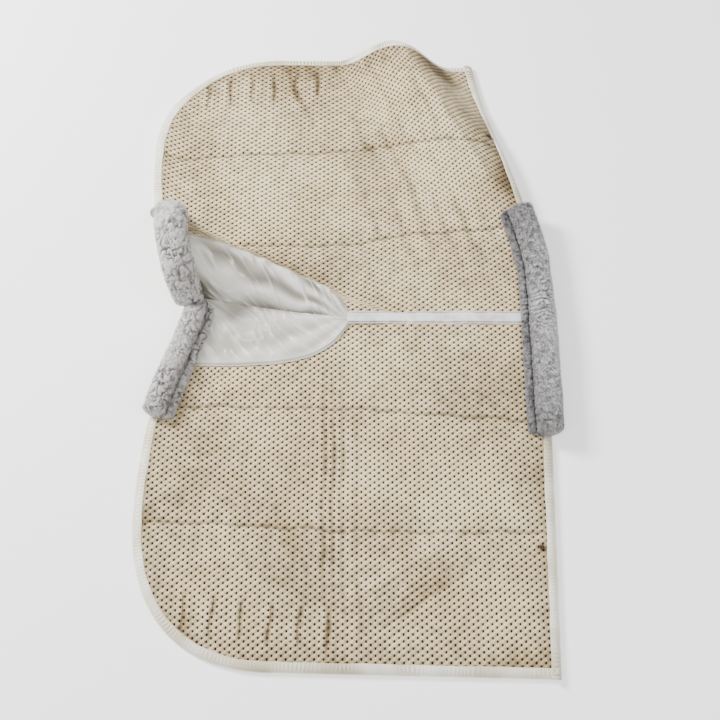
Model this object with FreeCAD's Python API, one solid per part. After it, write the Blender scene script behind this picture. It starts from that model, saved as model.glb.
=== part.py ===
import FreeCAD, Part
import math
import os

# Quilted saddle pad, laid open with its lining up and its outer face on the floor.
# Millimetres. X runs along the spine towards the rear, +Y towards the left flap, Z up.
# A flap point is given by its place on the flat pattern: s along the spine from the spine's
# middle, q across from the spine line towards the hem, and depth below the lining's face.

os.makedirs("parts", exist_ok=True)
Vec = FreeCAD.Vector

# ---- driving dimensions -------------------------------------------------------------------
CENTRE_X = -27.0          # middle of the laid-out pad, measured from the spine's middle
CENTRE_Y = -22.0

SPINE_LENGTH = 573.0      # front notch to rear edge
DROP = 552.0              # spine to hem at the rear corner
HEM_RISE = 9.0            # the hem runs up by this towards the front
FRONT_REACH = 340.5       # furthest forward point of the front edge
FRONT_STRAIGHT_Q = 316.0  # where the front edge turns into the rounded front corner
CORNER_END_S = -128.0     # where the rounded front corner meets the straight hem
REAR_LEAN = 16.5          # the rear edge leans forward by this at the hem
CORNER_HANDLES = (139.0, 142.0)   # how full the rounded corner is along the front edge and the hem
FRONT_SWEEP = (25.5, 70.0)        # the front edge leaves the notch this far forward, at this drop
FRONT_FULL_Q = 190.0      # from this drop the front edge aims straight down
WITHER_RISE = 41.0        # how far the curved wither seam leaves the spine line at the notch
RISE_POWER = 1.3
RISE_EASE = 0.05
TAPE_START_S = -24.5      # the wither seam straightens here and the spine tape starts

THICKNESS = 11.0
SHELL_T = 1.0
LINING_T = 1.2
LAYER_GAP = 0.45
SEAM_GAP = 0.2
BINDING_W = 14.0
BINDING_T = 0.8
TAPE_W = 22.0
TRIM_T = 0.7              # satin facing and spine tape

# standing wither fold of the left flap
FOLD_END_S = 80.0
FOLD_POWER = 1.19
FOLD_START_EASE = 0.02
FOLD_FULL_EASE = 0.06
FOLD_FRONT_CLOTH = 123.0  # cloth between the seam and the crest at the notch
FOLD_FRONT_RUN = 68.0
FOLD_HEIGHT = 80.0
FOLD_BACK_CLOTH = 127.0   # cloth between the crest and the foot of the fold
FOLD_BACK_RUN = 70.0
LEFT_SPLAY = 13.0         # the left flap's front edge is pushed this far forward
SPLAY_FULL_Q = 300.0      # drop from which it is pushed fully
LEFT_TAKE_UP = 0.049      # share of the left flap's drop lost in small ripples

# the standing fold draws the right flap's front edge back beside the wither seam
FRONT_PULL = 20.0
PULL_GROWS = 40.0         # cloth below the seam over which the pull grows
PULL_ENDS_Q = 190.0       # drop at which it has faded
PULL_S = (-190.0, -290.0)     # the pull starts at the first and is full at the second

# slanting rear fold of the left flap, from the rear edge to the hem
REAR_FOLD_HEM = (110.0, DROP)
REAR_FOLD_EDGE = (286.5, 136.0)
REAR_FOLD_HEIGHT = 57.0
REAR_FOLD_RUN = (98.0, 70.0)      # rising side, falling side
REAR_FOLD_LOSS = (57.0, 44.0)     # extra cloth on each side
REAR_FOLD_POWER = 0.85
REAR_LOSS_POWER = 0.70
REAR_FOLD_START_EASE = 0.08
FOLD_EASE = 0.12          # share of a slope over which it starts or stops

EDGE_GAP = 1.3            # the shell and lining stop this far short of the binding's lips

# fleece rolls
ROLL_W = 44.0
ROLL_H = 28.0
ROLL_WALL = 6.0
ROLL_LIFT = 2.4           # clear height between the lining and a roll
FRONT_ROLL_INSET = 15.0   # roll centre line, inwards from the front edge
RIGHT_ROLL_ENDS = (-8.0, 170.0)   # drops where the front rolls start and end
LEFT_ROLL_ENDS = (-34.0, 222.0)   # the left roll starts above the notch and covers the right one's end
FOAM_STARTS = {"right": 4.0, "left": 0.0}
ROLL_ROUNDING = 16.0
ROUNDING_STEPS = (0.0, 0.15, 0.5)
BLUNT_END = 0.5           # an end's section is this share of the roll's
RIGHT_ROLL_STATIONS = 9
LEFT_ROLL_STATIONS = 11
REAR_ROLL_STATIONS = 13
SECTION_POINTS = 16
REAR_ROLL_S = 270.0
REAR_ROLL_ENDS = (-198.0, 216.0)
REAR_FOAM_START = 27.0    # the rear roll's foam stops this far short of the fold, so it can close
REAR_ROLL_LEAN = 15.0     # the rear roll's left end turns inwards by this

TAPE_END_GAP = 8.0        # the spine tape stops this far short of the rear roll

# girth keeper near each lower front corner, and the rivet near each lower rear corner
KEEPER_S = {"right": -157.0, "left": -170.0}
KEEPER_Q = 461.0
KEEPER_ROWS = 6
KEEPER_PITCH = {"right": 41.0, "left": 36.0}
KEEPER_MARGIN = 2.0       # webbing beyond the first and last stitch row
KEEPER_WIDTH = 36.0
KEEPER_T = 1.4
ROW_SIZE = (1.6, 48.0, 0.6)
ROW_STEP = 5.0            # each row sits this much nearer the hem than the one before
RIVET_AT = (253.5, 368.0)
RIVET_R = 1.3
RIVET_PLAY = 0.4
RIVET_HEAD_R = 3.2
RIVET_HEAD_T = 0.9

NOTCH_S = -SPINE_LENGTH / 2
REAR_S = SPINE_LENGTH / 2
GRID = 58                 # points along each side of a curved sheet
SEAM_CROWDING = 1.45
EDGE_STATIONS = 90
REAR_STATIONS = 90
FACING_STATIONS = 30
FACING_STEPS = 16
FACING_HEM = [(-272.0, 83.0), (-130.0, 86.0), (-60.0, 84.0), (TAPE_START_S - 2.0, 12.0)]
FACING_GAPS = {"right": 3.0, "left": 2.0}
HEM_TURN = 0.28           # share of the hem side's points spent on half of the rounded corner
SEARCH_START = (-0.3, 0.9)        # where the front edge is searched for a drop
SEARCH_SEAM = (-0.2, 0.2)
SEARCH_HEM = (0.8, 1.2)
SEARCH_REAR = (2.5, 3.0)


# ---- flat pattern --------------------------------------------------------------------------
def eased(value, width):
    """Nought below -width and the value itself above +width, with a smooth turn between."""
    if value <= -width:
        return 0.0
    if value >= width:
        return value
    return (value + width) ** 2 / (4 * width)


def wither_rise(s):
    share = eased((TAPE_START_S - s) / (TAPE_START_S - NOTCH_S), RISE_EASE)
    return WITHER_RISE * share ** RISE_POWER


def bezier(points, t):
    """Point and direction on a Bezier curve of any degree."""
    row = [Vec(p[0], p[1], 0) for p in points]
    while len(row) > 2:
        row = [a * (1 - t) + b * t for a, b in zip(row, row[1:])]
    return row[0] * (1 - t) + row[1] * t, row[1] - row[0]


FRONT_CURVE = [
    (NOTCH_S, -WITHER_RISE),
    (NOTCH_S - FRONT_SWEEP[0], FRONT_SWEEP[1]),
    (-FRONT_REACH, FRONT_FULL_Q),
    (-FRONT_REACH, FRONT_STRAIGHT_Q),
]
CORNER_CURVE = [
    (-FRONT_REACH, FRONT_STRAIGHT_Q),
    (-FRONT_REACH, FRONT_STRAIGHT_Q + CORNER_HANDLES[0]),
    (CORNER_END_S - CORNER_HANDLES[1], DROP - HEM_RISE),
    (CORNER_END_S, DROP - HEM_RISE),
]
REAR_CORNER = (REAR_S - REAR_LEAN, DROP)
HEM_LINE = [(CORNER_END_S, DROP - HEM_RISE), REAR_CORNER]
REAR_LINE = [(REAR_S, 0.0), REAR_CORNER]
EDGE_PIECES = [FRONT_CURVE, CORNER_CURVE, HEM_LINE]


def edge_point(t, inset):
    """Front edge for t 0 to 1, rounded corner 1 to 2, hem 2 to 3; moved inwards by inset."""
    piece = min(int(t), 2)
    point, along = bezier(EDGE_PIECES[piece], t - piece)
    inwards = Vec(along.y, -along.x, 0).normalize()
    return point + inwards * inset


def rear_point(t, inset):
    point, along = bezier(REAR_LINE, t)
    inwards = Vec(-along.y, along.x, 0).normalize()
    return point + inwards * inset


def crossing(edge, side, low, high):
    """Place on an edge curve where side() changes sign."""
    sign = side(edge(low)) > 0
    for _ in range(40):
        middle = (low + high) / 2
        if (side(edge(middle)) > 0) == sign:
            low = middle
        else:
            high = middle
    return (low + high) / 2


def spread(start, end, count):
    return [start + (end - start) * i / (count - 1) for i in range(count)]


ACROSS = [share ** SEAM_CROWDING for share in spread(0.0, 1.0, GRID)]


def down_the_flap(start, end):
    """Values from seam to hem, closer together near the seam where the fold is tight."""
    return [start + (end - start) * share for share in ACROSS]


def flap_region(inset, seam_gap=SEAM_GAP):
    """Four sides of a flap layer: seam, front with half the corner, hem, rear."""
    def past_seam(p):
        return p.y + wither_rise(p.x) - seam_gap

    def past_hem(p):
        return p.y - edge_point(2.5, inset).y - slope * (p.x - edge_point(2.5, inset).x)

    slope = HEM_RISE / (REAR_CORNER[0] - CORNER_END_S)
    front_t = crossing(lambda t: edge_point(t, inset), past_seam, *SEARCH_START)
    seam_t = crossing(lambda t: rear_point(t, inset), past_seam, *SEARCH_SEAM)
    hem_t = crossing(lambda t: rear_point(t, inset), past_hem, *SEARCH_HEM)
    first = edge_point(front_t, inset)
    corner = rear_point(hem_t, inset)
    hem_start = edge_point(2.0, inset)
    seam_end = rear_point(seam_t, inset)
    seam = [Vec(s, seam_gap - wither_rise(s), 0) for s in spread(first.x, seam_end.x, GRID)]
    front = [edge_point(t, inset) for t in down_the_flap(front_t, 1.5)]
    hem = []
    for t in spread(0.0, 1.0, GRID):
        if t < HEM_TURN:
            hem.append(edge_point(1.5 + 0.5 * t / HEM_TURN, inset))
        else:
            hem.append(hem_start + (corner - hem_start) * ((t - HEM_TURN) / (1 - HEM_TURN)))
    rear = [seam_end + (corner - seam_end) * t for t in ACROSS]
    return seam, front, hem, rear


# ---- how each flap lies ---------------------------------------------------------------------
def smooth(value):
    """Smooth rise from 0 to 1 as value goes from 0 to 1."""
    value = min(1.0, max(0.0, value))
    return value ** 2 * (3 - 2 * value)


def front_pull(s, q):
    grown = smooth((q + wither_rise(s)) / PULL_GROWS) * smooth(1 - q / PULL_ENDS_Q)
    return FRONT_PULL * grown * smooth((s - PULL_S[0]) / (PULL_S[1] - PULL_S[0]))


def right_point(s, q, depth):
    return Vec(s + front_pull(s, q), -q, THICKNESS - depth)


def back_share(share):
    """Share of the back's run reached, joining smoothly to the slopes on either side."""
    start = FOLD_FRONT_RUN * math.pi / 2 / FOLD_FRONT_CLOTH * FOLD_BACK_CLOTH / FOLD_BACK_RUN
    end = (1 - LEFT_TAKE_UP) * FOLD_BACK_CLOTH / FOLD_BACK_RUN
    rest = 1 - share
    return share * rest ** 2 * start + share ** 2 * (3 - 2 * share) - share ** 2 * rest * end


def fold_profile(cloth, strength):
    """Run and height of the wither fold after this much cloth from the seam."""
    start = math.pi / 2 * (1 - strength)
    front = FOLD_FRONT_CLOTH * strength
    back = FOLD_BACK_CLOTH * strength + 1e-6
    angle = start + math.pi / 2 * min(max(cloth, 0.0), front) / FOLD_FRONT_CLOTH
    run = FOLD_FRONT_RUN * (math.cos(start) - math.cos(angle))
    height = FOLD_HEIGHT * (math.sin(angle) - math.sin(start))
    if cloth > front:
        share = min(1.0, (cloth - front) / back)
        run += FOLD_BACK_RUN * strength * back_share(share)
        run += max(0.0, cloth - front - back) * (1 - LEFT_TAKE_UP)
        height = FOLD_HEIGHT * (1 - math.sin(start)) * (1 - share ** 2) ** 2
    return run, height


def rear_fold(s, q):
    """Shift and height added by the slanting rear fold."""
    along_s = REAR_FOLD_HEM[0] - REAR_FOLD_EDGE[0]
    along_q = REAR_FOLD_HEM[1] - REAR_FOLD_EDGE[1]
    length = math.hypot(along_s, along_q)
    along_s, along_q = along_s / length, along_q / length
    across_s, across_q = along_q, -along_s
    ds, dq = s - REAR_FOLD_EDGE[0], q - REAR_FOLD_EDGE[1]
    share = eased((ds * along_s + dq * along_q) / length, REAR_FOLD_START_EASE)
    across = ds * across_s + dq * across_q
    rising = REAR_FOLD_RUN[0] + REAR_FOLD_LOSS[0]
    falling = REAR_FOLD_RUN[1] + REAR_FOLD_LOSS[1]
    up = min(1.0, max(0.0, across / rising + 1))
    down = min(1.0, max(0.0, across / falling))
    taken_up = min(1.0, eased(across / rising + 1, FOLD_EASE)) * REAR_FOLD_LOSS[0]
    taken_up += max(0.0, 1 - eased(1 - across / falling, FOLD_EASE)) * REAR_FOLD_LOSS[1]
    shape = (1 - math.cos(math.pi * (up - down))) / 2
    height = REAR_FOLD_HEIGHT * share ** REAR_FOLD_POWER * shape
    loss = taken_up * share ** REAR_LOSS_POWER
    return -across_s * loss, -across_q * loss, height


def left_surface(s, q):
    near_notch = eased((FOLD_END_S - s) / (FOLD_END_S - NOTCH_S), FOLD_START_EASE)
    strength = (1 - eased(1 - near_notch, FOLD_FULL_EASE)) ** FOLD_POWER
    run, height = fold_profile(q + wither_rise(s), strength)
    forward = min(1.0, max(0.0, -s / FRONT_REACH)) * LEFT_SPLAY
    splay = forward * math.sin(math.pi / 2 * min(1.0, max(0.0, q / SPLAY_FULL_Q)))
    shift_x, shift_y, lift = rear_fold(s, q)
    return Vec(s - splay + shift_x, wither_rise(s) + run + shift_y, THICKNESS + height + lift)


def left_normal(s, q):
    step = 0.5
    low = max(q - step, 0.01 - wither_rise(s))
    across = left_surface(s, low + 2 * step) - left_surface(s, low)
    along = left_surface(s + step, q) - left_surface(s - step, q)
    return along.cross(across).normalize()


def left_point(s, q, depth):
    return left_surface(s, q) - left_normal(s, q) * depth


def pad_point(s, across, depth):
    """Either flap: across is negative on the right flap and positive on the left one."""
    if across > 0:
        return left_point(s, across, depth)
    return right_point(s, -across, depth)


# ---- solid builders ---------------------------------------------------------------------------
def closed_solid(faces):
    shell = Part.Shell(faces)
    shell.sewShape()
    solid = Part.Solid(shell)
    if solid.Volume < 0:
        solid.reverse()
    return solid


def curve_edge(points, places=None):
    """Smooth curve through points; places gives their spacing along it."""
    curve = Part.BSplineCurve()
    curve.interpolate(Points=points, Parameters=places or spread(0.0, 1.0, len(points)))
    return curve.toShape()


def coons(region, u, v):
    """Point inside a four-sided region; u and v are places in the side lists."""
    seam, front, hem, rear = region
    a, b = u / (GRID - 1), ACROSS[v]
    ruled = seam[u] * (1 - b) + hem[u] * b + front[v] * (1 - a) + rear[v] * a
    corners = (seam[0] * (1 - b) + hem[0] * b) * (1 - a) + (seam[-1] * (1 - b) + hem[-1] * b) * a
    return ruled - corners


def curved_sheet(region, top, bottom):
    """Layer of the left flap between two depths."""
    surfaces = []
    for depth in (top, bottom):
        grid = []
        for u in range(GRID):
            flat = [coons(region, u, v) for v in range(GRID)]
            grid.append([left_point(p.x, p.y, depth) for p in flat])
        surface = Part.BSplineSurface()
        surface.interpolate(grid)
        surfaces.append(surface)
    faces = [surface.toShape() for surface in surfaces]
    u0, u1, v0, v1 = surfaces[0].bounds()
    w0, w1, x0, x1 = surfaces[1].bounds()
    sides = [
        (surfaces[0].uIso(u0), surfaces[1].uIso(w0)),
        (surfaces[0].uIso(u1), surfaces[1].uIso(w1)),
        (surfaces[0].vIso(v0), surfaces[1].vIso(x0)),
        (surfaces[0].vIso(v1), surfaces[1].vIso(x1)),
    ]
    faces += [Part.makeRuledSurface(a.toShape(), b.toShape()) for a, b in sides]
    return closed_solid(faces)


def flat_sheet(region, top, bottom):
    """Layer of the right flap between two depths."""
    seam, front, hem, rear = region
    edges = [curve_edge([right_point(p.x, p.y, bottom) for p in side]) for side in (seam, front, hem)]
    ends = [right_point(p.x, p.y, bottom) for p in (rear[0], rear[-1])]
    edges.append(Part.makeLine(ends[0], ends[1]))
    wire = Part.Wire(Part.__sortEdges__(edges))
    layer = Part.Face(wire).extrude(Vec(0, 0, bottom - top))
    return layer if layer.Volume > 0 else layer.reversed()


def end_cap(corners, quads):
    """Faces that close an end: one flat polygon, or ruled quads where the end isn't flat."""
    if not quads:
        return [Part.Face(Part.makePolygon(corners + corners[:1]))]
    faces = []
    for a, b, c, d in quads:
        low = Part.makeLine(corners[a], corners[b])
        high = Part.makeLine(corners[d], corners[c])
        faces.append(Part.makeRuledSurface(low, high))
    return faces


def swept(stations, quads=None, places=None):
    """Solid through stations of matching corner points."""
    count = len(stations[0])
    rails = [curve_edge([station[i] for station in stations], places) for i in range(count)]
    faces = [Part.makeRuledSurface(rails[i], rails[(i + 1) % count]) for i in range(count)]
    faces += end_cap(stations[0], quads) + end_cap(stations[-1], quads)
    return closed_solid(faces)


def roll_solid(point, path, width, height, lift):
    """Round-ended roll of soft section above a path of (place, s, q, scale) stations."""
    centres = [point(s, q, -(lift + height / 2)) for place, s, q, scale in path]
    stations = []
    for i, (place, s, q, scale) in enumerate(path):
        before, after = centres[max(i - 1, 0)], centres[min(i + 1, len(path) - 1)]
        along = (after - before).normalize()
        up = point(s, q, -1.0) - point(s, q, 0.0)
        side = along.cross(up).normalize()
        up = side.cross(along).normalize()
        ring = []
        for k in range(SECTION_POINTS):
            angle = 2 * math.pi * k / SECTION_POINTS
            out = side * (width / 2 * math.cos(angle)) + up * (height / 2 * math.sin(angle))
            ring.append(centres[i] + out * scale)
        stations.append(ring)
    return swept(stations, places=[place for place, s, q, scale in path])


def box_at(centre, size):
    corner = Vec(centre.x - size[0] / 2, centre.y - size[1] / 2, centre.z)
    return Part.makeBox(size[0], size[1], size[2], corner)


# ---- layers of one flap -------------------------------------------------------------------------
def keeper_size(side):
    return KEEPER_PITCH[side] * (KEEPER_ROWS - 1) + 2 * KEEPER_MARGIN, KEEPER_WIDTH, KEEPER_T


def keeper_place(side, point):
    centre = point(KEEPER_S[side], KEEPER_Q, THICKNESS)
    return Vec(centre.x, centre.y, 0.0)


def recess(side, place, margin, top):
    """Space around the girth keeper, from under the floor up to top."""
    length, width, thickness = keeper_size(side)
    return box_at(place - Vec(0, 0, 1.0), (length + 2 * margin, width + 2 * margin, top + 1.0))


def rivet_hole(point):
    """Clear hole for the rivet's shank through the layers."""
    beyond = 3.0
    top = point(RIVET_AT[0], RIVET_AT[1], -beyond)
    bottom = point(RIVET_AT[0], RIVET_AT[1], THICKNESS + beyond)
    axis = (bottom - top).normalize()
    return Part.makeCylinder(RIVET_R + RIVET_PLAY, THICKNESS + 2 * beyond, top, axis)


def outer_shell(side, sheet, point):
    """Cotton shell, raised over the girth keeper that lies flat beneath it."""
    shell = sheet(flap_region(BINDING_W + EDGE_GAP), THICKNESS - SHELL_T, THICKNESS)
    place = keeper_place(side, point)
    roof = KEEPER_T + LAYER_GAP
    opening = recess(side, place, LAYER_GAP, roof)
    tray = recess(side, place, LAYER_GAP + SHELL_T, roof + SHELL_T).cut(opening)
    lip = recess(side, place, 2 * THICKNESS, SHELL_T / 3)
    shell = shell.cut(opening).fuse(tray.cut(lip))
    return shell.cut(rivet_hole(point))


def foam_core(side, sheet, point):
    top = LINING_T + LAYER_GAP
    bottom = THICKNESS - SHELL_T - LAYER_GAP
    core = sheet(flap_region(BINDING_T + 2 * LAYER_GAP), top, bottom)
    roof = KEEPER_T + SHELL_T + 2 * LAYER_GAP
    core = core.cut(recess(side, keeper_place(side, point), 2 * LAYER_GAP + SHELL_T, roof))
    return core.cut(rivet_hole(point))


def lining(sheet, point):
    layer = sheet(flap_region(BINDING_W + EDGE_GAP), 0.0, LINING_T)
    return layer.cut(rivet_hole(point))


def binding_section(point, outer, near_wall, middle, inner):
    """Corner points of a binding folded round the edge, from its lower lip to its upper lip."""
    low, high = THICKNESS, 0.0
    outside = [(inner, low), (middle, low), (outer, low)]
    outside += [(outer, high), (middle, high), (inner, high)]
    inside = [(inner, high + BINDING_T), (middle, high + BINDING_T), (near_wall, high + BINDING_T)]
    inside += [(near_wall, low - BINDING_T), (middle, low - BINDING_T), (inner, low - BINDING_T)]
    return [point(place.x, place.y, depth) for place, depth in outside + inside]


BINDING_INSETS = (0.0, BINDING_T, BINDING_W / 2, BINDING_W)
BINDING_CAPS = [(i, i + 1, 10 - i, 11 - i) for i in range(5)]


def edge_binding(point):
    """Binding of the front edge, the rounded corner and the hem, up to the rear binding."""
    def past_seam(p):
        return p.y + wither_rise(p.x) - 4 * SEAM_GAP

    def past_rear(p):
        return p.x - rear_point(1.0, BINDING_W + LAYER_GAP).x

    insets = BINDING_INSETS
    starts = [crossing(lambda t: edge_point(t, w), past_seam, *SEARCH_START) for w in insets]
    ends = [crossing(lambda t: edge_point(t, w), past_rear, *SEARCH_REAR) for w in insets]
    stations = []
    for step in spread(0.0, 1.0, EDGE_STATIONS):
        places = [edge_point(a + (b - a) * step, w) for a, b, w in zip(starts, ends, insets)]
        stations.append(binding_section(point, *places))
    return swept(stations, BINDING_CAPS)


def rear_binding(point):
    """Binding of the rear edge, which also covers the end of the hem's binding."""
    stations = []
    for t in spread(0.002, 0.998, REAR_STATIONS):
        places = [rear_point(t, w) for w in BINDING_INSETS]
        stations.append(binding_section(point, *places))
    return swept(stations, BINDING_CAPS)


def wither_facing(point, side_gap):
    """Satin patch from the front roll back to the start of the spine tape."""
    stations = []
    for t in spread(0.0, 1.0, FACING_STATIONS):
        hem, along = bezier(FACING_HEM, t)
        seam_q = side_gap - wither_rise(hem.x)
        section = []
        for share in spread(0.0, 1.0, FACING_STEPS):
            section.append(point(hem.x, seam_q + (hem.y - seam_q) * share, -LAYER_GAP))
        for share in spread(1.0, 0.0, FACING_STEPS):
            q = seam_q + (hem.y - seam_q) * share
            section.append(point(hem.x, q, -LAYER_GAP - TRIM_T))
        stations.append(section)
    last = 2 * FACING_STEPS - 1
    return swept(stations, [(i, i + 1, last - i - 1, last - i) for i in range(FACING_STEPS - 1)])


def girth_keeper(side, point):
    """Webbing sewn in loops, pressed flat beneath the shell."""
    return box_at(keeper_place(side, point), keeper_size(side))


def keeper_stitching(side, point):
    """The stitch rows that hold the girth keeper, seen on the lining."""
    place = keeper_place(side, point) + Vec(0, 0, THICKNESS + LAYER_GAP)
    pitch = KEEPER_PITCH[side]
    first = -pitch * (KEEPER_ROWS - 1) / 2
    towards_hem = ROW_STEP if side == "left" else -ROW_STEP
    rows = []
    for i in range(KEEPER_ROWS):
        rows.append(box_at(place + Vec(first + pitch * i, towards_hem * i, 0), ROW_SIZE))
    return Part.makeCompound(rows)


def corner_rivet(point):
    """Rivet through the pad, with a small head on the lining and one beneath the shell."""
    head = point(RIVET_AT[0], RIVET_AT[1], -LAYER_GAP)
    foot = point(RIVET_AT[0], RIVET_AT[1], THICKNESS)
    axis = (foot - head).normalize()
    shank = Part.makeCylinder(RIVET_R, (foot - head).Length, head, axis)
    top = Part.makeCylinder(RIVET_HEAD_R, RIVET_HEAD_T, head - axis * RIVET_HEAD_T, axis)
    return shank.fuse(top)


# ---- pieces shared by both flaps -------------------------------------------------------------------
def spine_tape():
    """Tape over the spine seam, from the wither seam to the rear roll."""
    halves = (-TAPE_W / 2, -TAPE_W / 4, 0.0, TAPE_W / 4, TAPE_W / 2)
    stations = []
    for s in spread(TAPE_START_S, REAR_ROLL_S - ROLL_W / 2 - TAPE_END_GAP, FACING_STATIONS):
        section = [pad_point(s, across, -LAYER_GAP) for across in halves]
        section += [pad_point(s, across, -LAYER_GAP - TRIM_T) for across in reversed(halves)]
        stations.append(section)
    return swept(stations, [(i, i + 1, 8 - i, 9 - i) for i in range(4)])


def roll_path(place, start, end, count):
    """Stations of a roll along its centre line, drawn in over a rounding length at each end."""
    path = []
    length = abs(end - start)
    ends = [ROLL_ROUNDING * share for share in ROUNDING_STEPS]
    steps = ends + spread(ROLL_ROUNDING, length - ROLL_ROUNDING, count)
    steps += [length - step for step in reversed(ends)]
    for step in steps:
        to_end = min(step, length - step, ROLL_ROUNDING) / ROLL_ROUNDING
        scale = max(BLUNT_END, math.sqrt(1 - (1 - to_end) ** 2))
        value = start + (end - start) * step / length
        path.append((step / length, *place(value), scale))
    return path


def front_place(q):
    """Point of the front rolls' centre line at a drop."""
    t = crossing(lambda t: edge_point(t, FRONT_ROLL_INSET), lambda p: p.y - q, -0.3, 0.999)
    return edge_point(t, FRONT_ROLL_INSET).x, q


def rear_place(across):
    lean = REAR_ROLL_LEAN * (max(0.0, across) / REAR_ROLL_ENDS[1]) ** 2
    return REAR_ROLL_S - lean, across


def roll_cover(point, place, start, end, count, cores):
    """Fleece sleeve closed round its foam; cores are the (start, end) of each foam piece."""
    cover = roll_solid(point, roll_path(place, start, end, count), ROLL_W, ROLL_H, ROLL_LIFT)
    for core_start, core_end in cores:
        cover = cover.cut(roll_foam(point, place, core_start, core_end, count, LAYER_GAP))
    return cover


def roll_foam(point, place, start, end, count, gap):
    width = ROLL_W - 2 * ROLL_WALL + 2 * gap
    height = ROLL_H - 2 * ROLL_WALL + 2 * gap
    step = gap if end > start else -gap
    path = roll_path(place, start - step, end + step, count)
    return roll_solid(point, path, width, height, ROLL_LIFT + ROLL_WALL - gap)


# ---- write every node -----------------------------------------------------------------------------
def flap_parts(side, sheet, point):
    return {
        side + "_outer_shell": outer_shell(side, sheet, point),
        side + "_foam_core": foam_core(side, sheet, point),
        side + "_lining": lining(sheet, point),
        side + "_edge_binding": edge_binding(point),
        side + "_rear_binding": rear_binding(point),
        side + "_wither_facing": wither_facing(point, FACING_GAPS[side]),
        side + "_girth_keeper": girth_keeper(side, point),
        side + "_keeper_stitching": keeper_stitching(side, point),
        side + "_corner_rivet": corner_rivet(point),
    }


parts = flap_parts("right", flat_sheet, right_point)
parts.update(flap_parts("left", curved_sheet, left_point))
parts["spine_tape"] = spine_tape()

# name, surface, centre line, ends, stations, and each foam piece inside with its own ends
rolls = [
    ("right_front_roll", right_point, front_place, RIGHT_ROLL_ENDS, RIGHT_ROLL_STATIONS, {
        "right_front_roll_foam": (FOAM_STARTS["right"], RIGHT_ROLL_ENDS[1] - ROLL_WALL),
    }),
    ("left_front_roll", left_point, front_place, LEFT_ROLL_ENDS, LEFT_ROLL_STATIONS, {
        "left_front_roll_foam": (FOAM_STARTS["left"], LEFT_ROLL_ENDS[1] - ROLL_WALL),
    }),
    ("rear_roll", pad_point, rear_place, REAR_ROLL_ENDS, REAR_ROLL_STATIONS, {
        "right_rear_roll_foam": (REAR_ROLL_ENDS[0] + ROLL_WALL, -REAR_FOAM_START),
        "left_rear_roll_foam": (REAR_FOAM_START, REAR_ROLL_ENDS[1] - ROLL_WALL),
    }),
]
for name, point, place, ends, count, foams in rolls:
    cover = roll_cover(point, place, ends[0], ends[1], count, foams.values())
    parts[name + "_cover"] = cover
    for key, (start, end) in foams.items():
        parts[key] = roll_foam(point, place, start, end, count, 0.0)

for name, shape in parts.items():
    shape.translate(Vec(-CENTRE_X, -CENTRE_Y, 0))
    shape.exportStep("parts/" + name + ".step")
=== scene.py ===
import math
from functools import partial

import bpy
import numpy as np
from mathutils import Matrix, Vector


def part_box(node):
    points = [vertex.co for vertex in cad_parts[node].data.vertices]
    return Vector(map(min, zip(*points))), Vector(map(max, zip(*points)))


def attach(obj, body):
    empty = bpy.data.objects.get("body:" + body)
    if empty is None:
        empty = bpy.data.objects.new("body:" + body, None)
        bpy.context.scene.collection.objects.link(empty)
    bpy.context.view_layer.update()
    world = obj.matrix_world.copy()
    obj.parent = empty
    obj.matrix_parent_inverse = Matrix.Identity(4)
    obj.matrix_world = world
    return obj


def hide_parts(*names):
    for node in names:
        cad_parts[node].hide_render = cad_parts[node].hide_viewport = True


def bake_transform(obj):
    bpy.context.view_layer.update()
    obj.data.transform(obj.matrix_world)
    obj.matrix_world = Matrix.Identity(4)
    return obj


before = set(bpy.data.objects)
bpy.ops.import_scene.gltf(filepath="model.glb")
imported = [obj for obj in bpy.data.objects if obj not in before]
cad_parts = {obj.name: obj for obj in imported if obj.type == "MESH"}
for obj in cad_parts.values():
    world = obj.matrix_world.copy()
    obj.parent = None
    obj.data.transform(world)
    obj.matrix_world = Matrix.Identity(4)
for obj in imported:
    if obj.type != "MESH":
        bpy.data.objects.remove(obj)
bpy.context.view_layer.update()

# Lengths are in millimetres until a mesh is made. A flap point is given by s along the spine,
# q from the spine line towards the hem, and height above the flap's reference surface.

# ---- sizes ----
CENTRE = np.array([-27.0, -22.0, 0.0])     # the part's origin, seen from the spine's middle
NOTCH_S, REAR_S = -286.5, 286.5            # ends of the spine seam
DROP, HEM_RISE, REAR_LEAN = 552.0, 9.0, 16.5
FRONT_REACH, FRONT_STRAIGHT_Q, CORNER_END_S = 340.5, 316.0, -128.0
FRONT_SWEEP, FRONT_FULL_Q, CORNER_HANDLES = (25.5, 70.0), 190.0, (139.0, 142.0)
WITHER_RISE, RISE_POWER, RISE_EASE = 41.0, 1.3, 0.05
TAPE_START_S = -24.5
THICKNESS = 11.0                           # the pad's outer face is this far below the lining
LINING_T, SHELL_LIFT, CORE_LIFT = 2.3, 0.2, 1.3
LAYER_INSET, SHELL_INSET = 4.0, 9.0        # the layers stop this far inside the pad's edge
TAPE_W = 22.0
SEAM_GAP = 0.4
SEAM_ALLOWANCE = 0.9                       # the core stops this far short of the seam

# The left flap's standing fold: it grows from FOLD_END_S forwards to the notch.
FOLD_END_S, FOLD_POWER, FOLD_START_EASE, FOLD_FULL_EASE = 80.0, 1.19, 0.02, 0.06
FOLD_FRONT_CLOTH, FOLD_FRONT_RUN, FOLD_HEIGHT = 123.0, 68.0, 80.0
FOLD_BACK_CLOTH, FOLD_BACK_RUN = 127.0, 70.0
LEFT_SPLAY, SPLAY_FULL_Q, LEFT_TAKE_UP = 13.0, 300.0, 0.049
FRONT_PULL, PULL_GROWS, PULL_ENDS_Q, PULL_S = 20.0, 40.0, 190.0, (-190.0, -290.0)
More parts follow.
